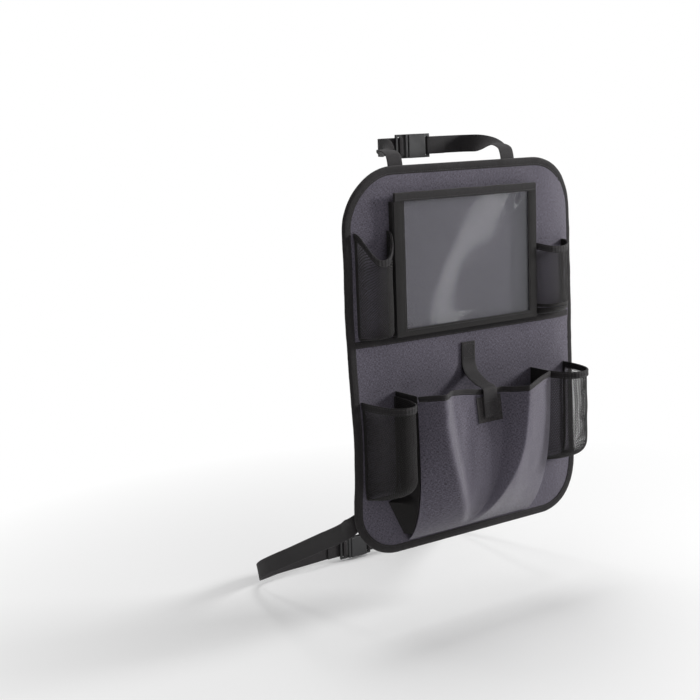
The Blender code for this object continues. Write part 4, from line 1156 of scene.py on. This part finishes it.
def build_centre_wall(name, node, side, fans):
    """A side wall of the centre pocket, from its seam on the panel to the front's edge."""
    rim = centre_rim_height(centre_edges(1.0)[side])
    lowest = blend(CENTRE_BOTTOM_Z, rim, 0.05)
    heights = evenly(lowest, FAN_TOP_Z, 14) + evenly(FAN_TOP_Z, FAN_END_Z, 4)[1:]
    heights += evenly(FAN_END_Z, rim, 40)[1:]
    size = ((CENTRE_LEFT_DEPTH, CENTRE_RIGHT_DEPTH)[side], rim - lowest)

    def place(u, v):
        z = heights[round(v * (len(heights) - 1))]
        share = (z - CENTRE_BOTTOM_Z) / (rim - CENTRE_BOTTOM_Z)
        front_x = centre_edges(share)[side]
        spread = fan_spread(z) if fans else 0.0
        foot = SEAM_GAP + FAN_LIFT * spread
        reach = u if side else 1 - u
        front = centre_depth(front_x, share) - CENTRE_FABRIC - 5 * SEAM_GAP
        depth = blend(foot, front, 1 - reach)
        fold = 0.0016 * math.sin(math.pi * u) * waves(depth, z, 0.030, 5.0 + side)
        fold = math.copysign(abs(fold), 0.5 - side) * soft_step(share, 0.1, 0.3)
        return spot_at(front_x - spread * reach**1.5 + fold, depth, z)

    us, vs = shares(16), shares(len(heights) - 1)
    wall = sheet(name, place, us, vs, size, WALL_FABRIC, LINING)
    return dress(wall, "black_fabric", node)


# Closure tab and its patches


def front_depth_at(x, z):
    share = (z - CENTRE_BOTTOM_Z) / (centre_front_top(x) - CENTRE_BOTTOM_Z)
    return centre_depth(x, min(1.0, share))


def build_patch(name, node, width, height, layer):
    def place(u, v):
        x = TAB_X + width * (u - 0.5)
        z = PATCH_TOP_Z - height * (1 - v)
        pile = 0.00025 * waves(x, z, 0.0016, 3.3)
        return spot_at(x, front_depth_at(x, z) + layer + PATCH_THICKNESS + pile, z)

    us, vs = shares(44), shares(34)
    patch = sheet(name, place, us, vs, (width, height), PATCH_THICKNESS, LOOP)
    return dress(patch, "black_fabric", node)


# Webbing


def through(points, first, share):
    """A point of the smooth curve through a list of points, on the stretch after the first one."""
    last = len(points) - 1
    around = [points[min(max(first + k, 0), last)] for k in (-1, 0, 1, 2)]
    if first == 0:
        around[0] = 2 * around[1] - around[2]
    if first + 1 == last:
        around[3] = 2 * around[2] - around[1]
    knots = [0.0]
    for before, after in zip(around, around[1:]):
        knots.append(knots[-1] + math.sqrt(max((after - before).length, 0.00001)))
    t = blend(knots[1], knots[2], share)
    level = list(around)
    for reach in (1, 2, 3):
        level = [
            (knots[k + reach] - t) / (knots[k + reach] - knots[k]) * level[k]
            + (t - knots[k]) / (knots[k + reach] - knots[k]) * level[k + 1]
            for k in range(len(level) - 1)
        ]
    return level[0]


def build_strap(name, node, stations, width, thickness):
    """Flat webbing through stations, each a point and the direction of the webbing's width."""
    points = [place for place, side in stations]
    line, sides = [], []
    for first in range(len(stations) - 1):
        length = (points[first + 1] - points[first]).length
        steps = max(1, math.ceil(length / STRAP_SPACING))
        for step in range(steps):
            share = step / steps
            line.append(through(points, first, share))
            sides.append(stations[first][1].lerp(stations[first + 1][1], share))
    line.append(points[-1])
    sides.append(stations[-1][1])
    frames = []
    for spot, along, side in zip(line, headings(line), sides):
        side = (side - along * side.dot(along)).normalized()
        frames.append((spot, side, side.cross(along).normalized()))
    strap = sweep(name, frames, band_section(width, thickness, points=8), WEBBING)
    dress(strap, "black_webbing", node)
    return frames


def box_stitch(frames, first, last, width, thickness, outer=1.0):
    """A sewn box with a cross in it, on one face of a strap between two of its frames."""
    half = width / 2 - 0.003
    lift = outer * thickness * 0.52

    def spot(index, across):
        place, side, out = frames[index]
        return place + side * across + out * lift, out * outer

    for across in (-half, half):
        SEAMS.append([spot(k, across) for k in range(first, last + 1)])
    for index in (first, last):
        SEAMS.append([spot(index, x) for x in evenly(-half, half, 8)])
    for sign in (-1, 1):
        run = range(first, last + 1)
        SEAMS.append([spot(k, sign * blend(-half, half, (k - first) / (last - first))) for k in run])


def sew_straps(level, left, right, last_stitched):
    """Both straps of one level, each sewn to the panel's back near its start."""
    for side, route in (("left", left), ("right", right)):
        name, node = f"{side}_{level}_webbing", f"{level}_strap_{side}"
        frames = build_strap(name, node, route, WEBBING_WIDTH, WEBBING_THICKNESS)
        face = 1.0 if frames[1][2].y > 0 else -1.0
        box_stitch(frames, 1, last_stitched, WEBBING_WIDTH, WEBBING_THICKNESS, face)


def build_tab():
    half = TAB_THICKNESS / 2
    on_panel = SEAM_GAP + half
    over_patches = 9 * SEAM_GAP + 2 * PATCH_THICKNESS + half
    rim_top = CENTRE_RIM_Z - CENTRE_RIM_DIP
    at_rim = front_depth_at(TAB_X + TAB_WIDTH / 2, rim_top)
    lip = CENTRE_RIM_THICKNESS / 2 + 3 * SEAM_GAP + half
    points = [
        (on_panel, TAB_TOP_Z),
        (on_panel, TAB_LEAVES_PANEL_Z + TAB_BEND * 2 / 3),
        (on_panel + TAB_BEND / 30, TAB_LEAVES_PANEL_Z),
        (on_panel + TAB_BEND / 2, TAB_LEAVES_PANEL_Z - TAB_BEND),
        (blend(on_panel, at_rim, 0.45), rim_top + TAB_BEND),
        (at_rim - TAB_BEND * 2 / 3, rim_top + TAB_BEND / 2),
        (at_rim, rim_top + TAB_BEND * 3 / 8),
        (at_rim + lip + TAB_BEND / 6, rim_top + TAB_BEND / 12),
        (at_rim + lip + TAB_BEND / 4, rim_top - CENTRE_RIM_HEIGHT),
    ]
    for z in evenly(PATCH_TOP_Z - TAB_BEND / 3, TAB_END_Z, 3):
        points.append((front_depth_at(TAB_X + TAB_WIDTH / 2, z) + over_patches, z))
    stations = [(spot_at(TAB_X, depth, z), RIGHT) for depth, z in points]
    frames = build_strap("tab_webbing", "closure_tab", stations, TAB_WIDTH, TAB_THICKNESS)
    face = 1.0 if frames[0][2].y < 0 else -1.0
    box_stitch(frames, 1, 8, TAB_WIDTH, TAB_THICKNESS, face)
    box_stitch(frames, len(frames) - 9, len(frames) - 2, TAB_WIDTH, TAB_THICKNESS, face)


def ladder_thread(x, y, z):
    layer = BAR_WIDTH / 2 + SEAM_GAP + WEBBING_THICKNESS / 2
    outer = layer + WEBBING_THICKNESS + 2 * SEAM_GAP
    corner = layer * 0.9
    path = [
        (-0.030, outer), (-0.004, outer), (0.003, outer), (BAR_B_X - 0.001, layer + 0.0007),
        (BAR_B_X + corner, corner + 0.0003), (BAR_B_X + layer, 0.0), (BAR_B_X + corner, -corner),
        (BAR_B_X, -layer), (BAR_B_X - corner, -corner), (BAR_B_X - layer, 0.0),
        (BAR_B_X - layer - 0.0008, 0.0012), (0.0022, layer - 0.0001), (-0.002, layer),
        (-0.024, layer),
    ]
    return [(Vector((x + along, y + out, z)), UP) for along, out in path]


def bar_thread(x, y, z):
    bar = x + SOCKET_BAR_X
    across = BAR_WIDTH / 2 + SEAM_GAP + WEBBING_THICKNESS / 2
    layer = SOCKET_BAR_DEPTH / 2 + SEAM_GAP + WEBBING_THICKNESS / 2
    path = [
        (0.030, layer), (0.004, layer), (0.0, layer), (-across * 0.9, layer * 0.93),
        (-across - 0.0003, layer * 0.4), (-across - 0.0003, -layer * 0.4),
        (-across * 0.9, -layer * 0.93), (0.0, -layer), (0.004, -layer), (0.028, -layer),
    ]
    return [(Vector((bar + along, y + out, z)), UP) for along, out in path]


def top_root(x):
    on_panel = 2 * SEAM_GAP + WEBBING_THICKNESS / 2
    on_binding = on_panel + BINDING_STANDS
    edge = PANEL_HEIGHT / 2
    sewn = [
        (on_panel, edge - ROOT_DEPTH), (on_panel, edge - BINDING_WIDTH - 0.008),
        (on_binding, edge - BINDING_WIDTH), (on_binding, edge),
    ]
    path = [(lie(x, z) + lift, z) for lift, z in sewn]
    path += [(TOP_WRAP + 0.008, SEAT_TOP_Z - 0.007), (0.026, SEAT_TOP_Z - 0.001)]
    return [(Vector((x, y, z)), RIGHT) for y, z in path]


def build_top_straps():
    z = SEAT_TOP_Z + 0.001
    leaning = Vector((0.7, 0, 0.7))
    left = top_root(TOP_LEFT_ROOT_X) + [
        (Vector((blend(TOP_LEFT_ROOT_X, POST_LEFT_X, 0.35), POST_Y - 0.022, z)), leaning),
        (Vector((POST_LEFT_X - 0.012, POST_Y, z)), UP),
        (Vector((POST_LEFT_X - 0.006, TOP_RUN_Y - 0.007, z)), UP),
    ]
    left += ladder_thread(TOP_BUCKLE_X, TOP_RUN_Y, z)[1:]
    right = top_root(TOP_RIGHT_ROOT_X) + [
        (Vector((TOP_RIGHT_ROOT_X + 0.001, POST_Y - 0.016, z)), leaning),
        (Vector((TOP_RIGHT_ROOT_X, TOP_RUN_Y - 0.014, z)), UP),
        (Vector((TOP_RIGHT_ROOT_X - 0.008, TOP_RUN_Y + 0.001, z)), UP),
        (Vector((POST_RIGHT_X, TOP_RUN_Y + 0.004, z)), UP),
    ]
    right += bar_thread(TOP_BUCKLE_X, TOP_RUN_Y, z)
    sew_straps("top", left, right, 6)


def lower_route(side):
    edge = PANEL_WIDTH / 2
    slope = Vector((0, CREASE_Y, CREASE_Z - LOWER_EDGE_Z)).normalized()
    upright = Vector((0, -slope.z, slope.y))
    tilted = Vector((0.3 * side, 0, 1)).normalized()
    outside = edge + 0.004
    clear = 4 * SEAM_GAP + WEBBING_THICKNESS / 2
    crease = Vector((0, 0.25, 1)).normalized()

    def along_seat(share):
        return Vector((side * outside, CREASE_Y * share, blend(LOWER_EDGE_Z, CREASE_Z, share)))

    sewn = []
    for inward, rise, lift in ((edge - LOWER_ROOT_X, 0.018, 0), (0.026, 0.011, 0), (0.011, 0.006, 1)):
        x = side * (edge - inward)
        z = LOWER_EDGE_Z + rise
        sewn.append((Vector((x, lie(x, z) + clear + lift * BINDING_STANDS, z)), tilted))
    rim_y = lie(side * edge, LOWER_EDGE_Z) + 0.0065
    return sewn + [
        (Vector((side * (edge + 0.001), rim_y, LOWER_EDGE_Z)), tilted),
        (along_seat(0.09), upright),
        (along_seat(0.27), upright),
        (along_seat(0.58), upright),
        (along_seat(0.87), upright),
        (Vector((side * (outside - 0.012), CREASE_Y - 0.008, CREASE_Z + 0.001)), crease),
        (Vector((side * (outside - 0.050), CREASE_Y + 0.002, CREASE_Z)), crease),
        (Vector((side * 0.090, CREASE_Y + 0.003, CREASE_Z)), UP),
    ]


def build_lower_straps():
    left = lower_route(-1) + ladder_thread(LOWER_BUCKLE_X, CREASE_Y, CREASE_Z)
    right = lower_route(1) + bar_thread(LOWER_BUCKLE_X, CREASE_Y, CREASE_Z)
    sew_straps("lower", left, right, 7)


def finish_buckles():
    """The moulded buckles keep their solids, with softened edges and a plastic finish."""
    for node in ("top_buckle_plug", "top_buckle_socket", "lower_buckle_plug", "lower_buckle_socket"):
        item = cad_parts[node]
        item.data.materials.clear()
        item.data.materials.append(PLASTIC)
        bevel = item.modifiers.new("edges", "BEVEL")
        bevel.width = BUCKLE_BEVEL
        bevel.segments = 2
        bevel.limit_method = "ANGLE"
        bevel.angle_limit = math.radians(35)
        bevel.harden_normals = False


# Stage, light and camera

WHITE = (1.0, 1.0, 1.0, 1.0)
CAMERA_PLACE = (-1.1264, -1.363, 0.330)
CAMERA_BACK = (-0.5511, -0.8148, 0.1799)
CAMERA_UP = (0.1319, 0.1278, 0.9830)
CAMERA_LENS = 64.296


def build_stage():
    low = CAD_BOX[0][2] - 0.004
    half = 14.0
    mesh = bpy.data.meshes.new("floor")
    corners = [(-half, -half, low), (half, -half, low), (half, half, low), (-half, half, low)]
    mesh.from_pydata(corners, [], [(0, 1, 2, 3)])
    finish = Finish(
        "pale_floor", Roughness=0.85, Specular_IOR_Level=0.2, Base_Color=(0.86, 0.86, 0.86, 1.0)
    )
    place = finish.node("ShaderNodeTexCoord", {}).outputs["Object"]
    away = finish.node("ShaderNodeVectorMath", {0: place}, operation="LENGTH").outputs["Value"]
    far = finish.spread(away, 0.45, 1.1)
    rays = finish.node("ShaderNodeLightPath", {}).outputs
    seen = finish.either(rays["Is Camera Ray"], rays["Is Glossy Ray"], rays["Is Transmission Ray"])
    glow = finish.node("ShaderNodeEmission", {"Color": WHITE, "Strength": 1.0}).outputs[0]
    finish.show("Material Output", finish.times(far, seen), finish.shader.outputs[0], glow)
    floor = new_object("floor", mesh, finish.material)


def build_world():
    world = bpy.data.worlds.new("studio")
    nodes = Nodes(world)
    plain = nodes.tree.nodes["Background"]
    plain.inputs["Color"].default_value = WHITE
    plain.inputs["Strength"].default_value = 0.16
    white = nodes.node("ShaderNodeBackground", {"Color": WHITE, "Strength": 1.0})
    rays = nodes.node("ShaderNodeLightPath", {}).outputs
    seen = nodes.either(rays["Is Camera Ray"], rays["Is Transmission Ray"])
    nodes.show("World Output", seen, plain.outputs[0], white.outputs[0])
    bpy.context.scene.world = world


def add_lamp(name, place, target, size, energy, roll=0.0):
    data = bpy.data.lights.new(name, "AREA")
    data.shape = "RECTANGLE"
    data.size, data.size_y = size
    data.energy = energy
    lamp = bpy.data.objects.new(name, data)
    lamp.location = place
    aim = (Vector(target) - Vector(place)).to_track_quat("-Z", "Y")
    lamp.rotation_euler = (aim @ Quaternion((0, 0, 1), math.radians(roll))).to_euler()
    bpy.context.scene.collection.objects.link(lamp)


def add_camera():
    back = Vector(CAMERA_BACK).normalized()
    right = Vector(CAMERA_UP).cross(back).normalized()
    up = back.cross(right)
    turn = Matrix((right, up, back)).transposed().to_4x4()
    data = bpy.data.cameras.new("camera")
    data.lens = CAMERA_LENS
    data.sensor_width = 36.0
    camera = bpy.data.objects.new("camera", data)
    camera.matrix_world = Matrix.Translation(CAMERA_PLACE) @ turn
    bpy.context.scene.collection.objects.link(camera)
    bpy.context.scene.camera = camera


panel = build_panel()
binding = build_binding()
tape = build_tape()
build_tablet_frame()
build_tablet_wall()
build_top_band()
build_window()
build_side_pockets()
front, front_size = build_centre_front()
rim = build_centre_rim()
build_centre_wall("pocket_left_wall", "centre_pocket_left_wall", 0, True)
build_centre_wall("pocket_right_wall", "centre_pocket_right_wall", 1, False)
loop_patch = build_patch("loop_patch", "closure_loop_patch", PATCH_WIDTH, PATCH_HEIGHT, 3 * SEAM_GAP)
build_patch(
    "hook_patch", "closure_hook_patch", HOOK_WIDTH, HOOK_HEIGHT, 6 * SEAM_GAP + PATCH_THICKNESS
)
build_tab()
build_top_straps()
build_lower_straps()
finish_buckles()
threads = dress(stitching("stitching"), "black_fabric")

build_stage()
build_world()
add_lamp("key", (2.55, -1.2, 0.9), (0.0, 0.0, -0.05), (0.6, 0.8), 82.0)
add_lamp("fill", (-0.2, -2.4, 1.2), (0.0, 0.0, 0.0), (1.2, 1.2), 9.0)
add_lamp("top", (0.0, 0.3, 2.0), (0.0, 0.0, 0.0), (1.8, 1.8), 32.0)
add_lamp("strip", (1.26, -1.54, -0.085), (-0.01, -0.014, 0.135), (0.06, 0.9), 0.7, -22.0)
add_camera()
bpy.context.scene.view_settings.view_transform = "Standard"
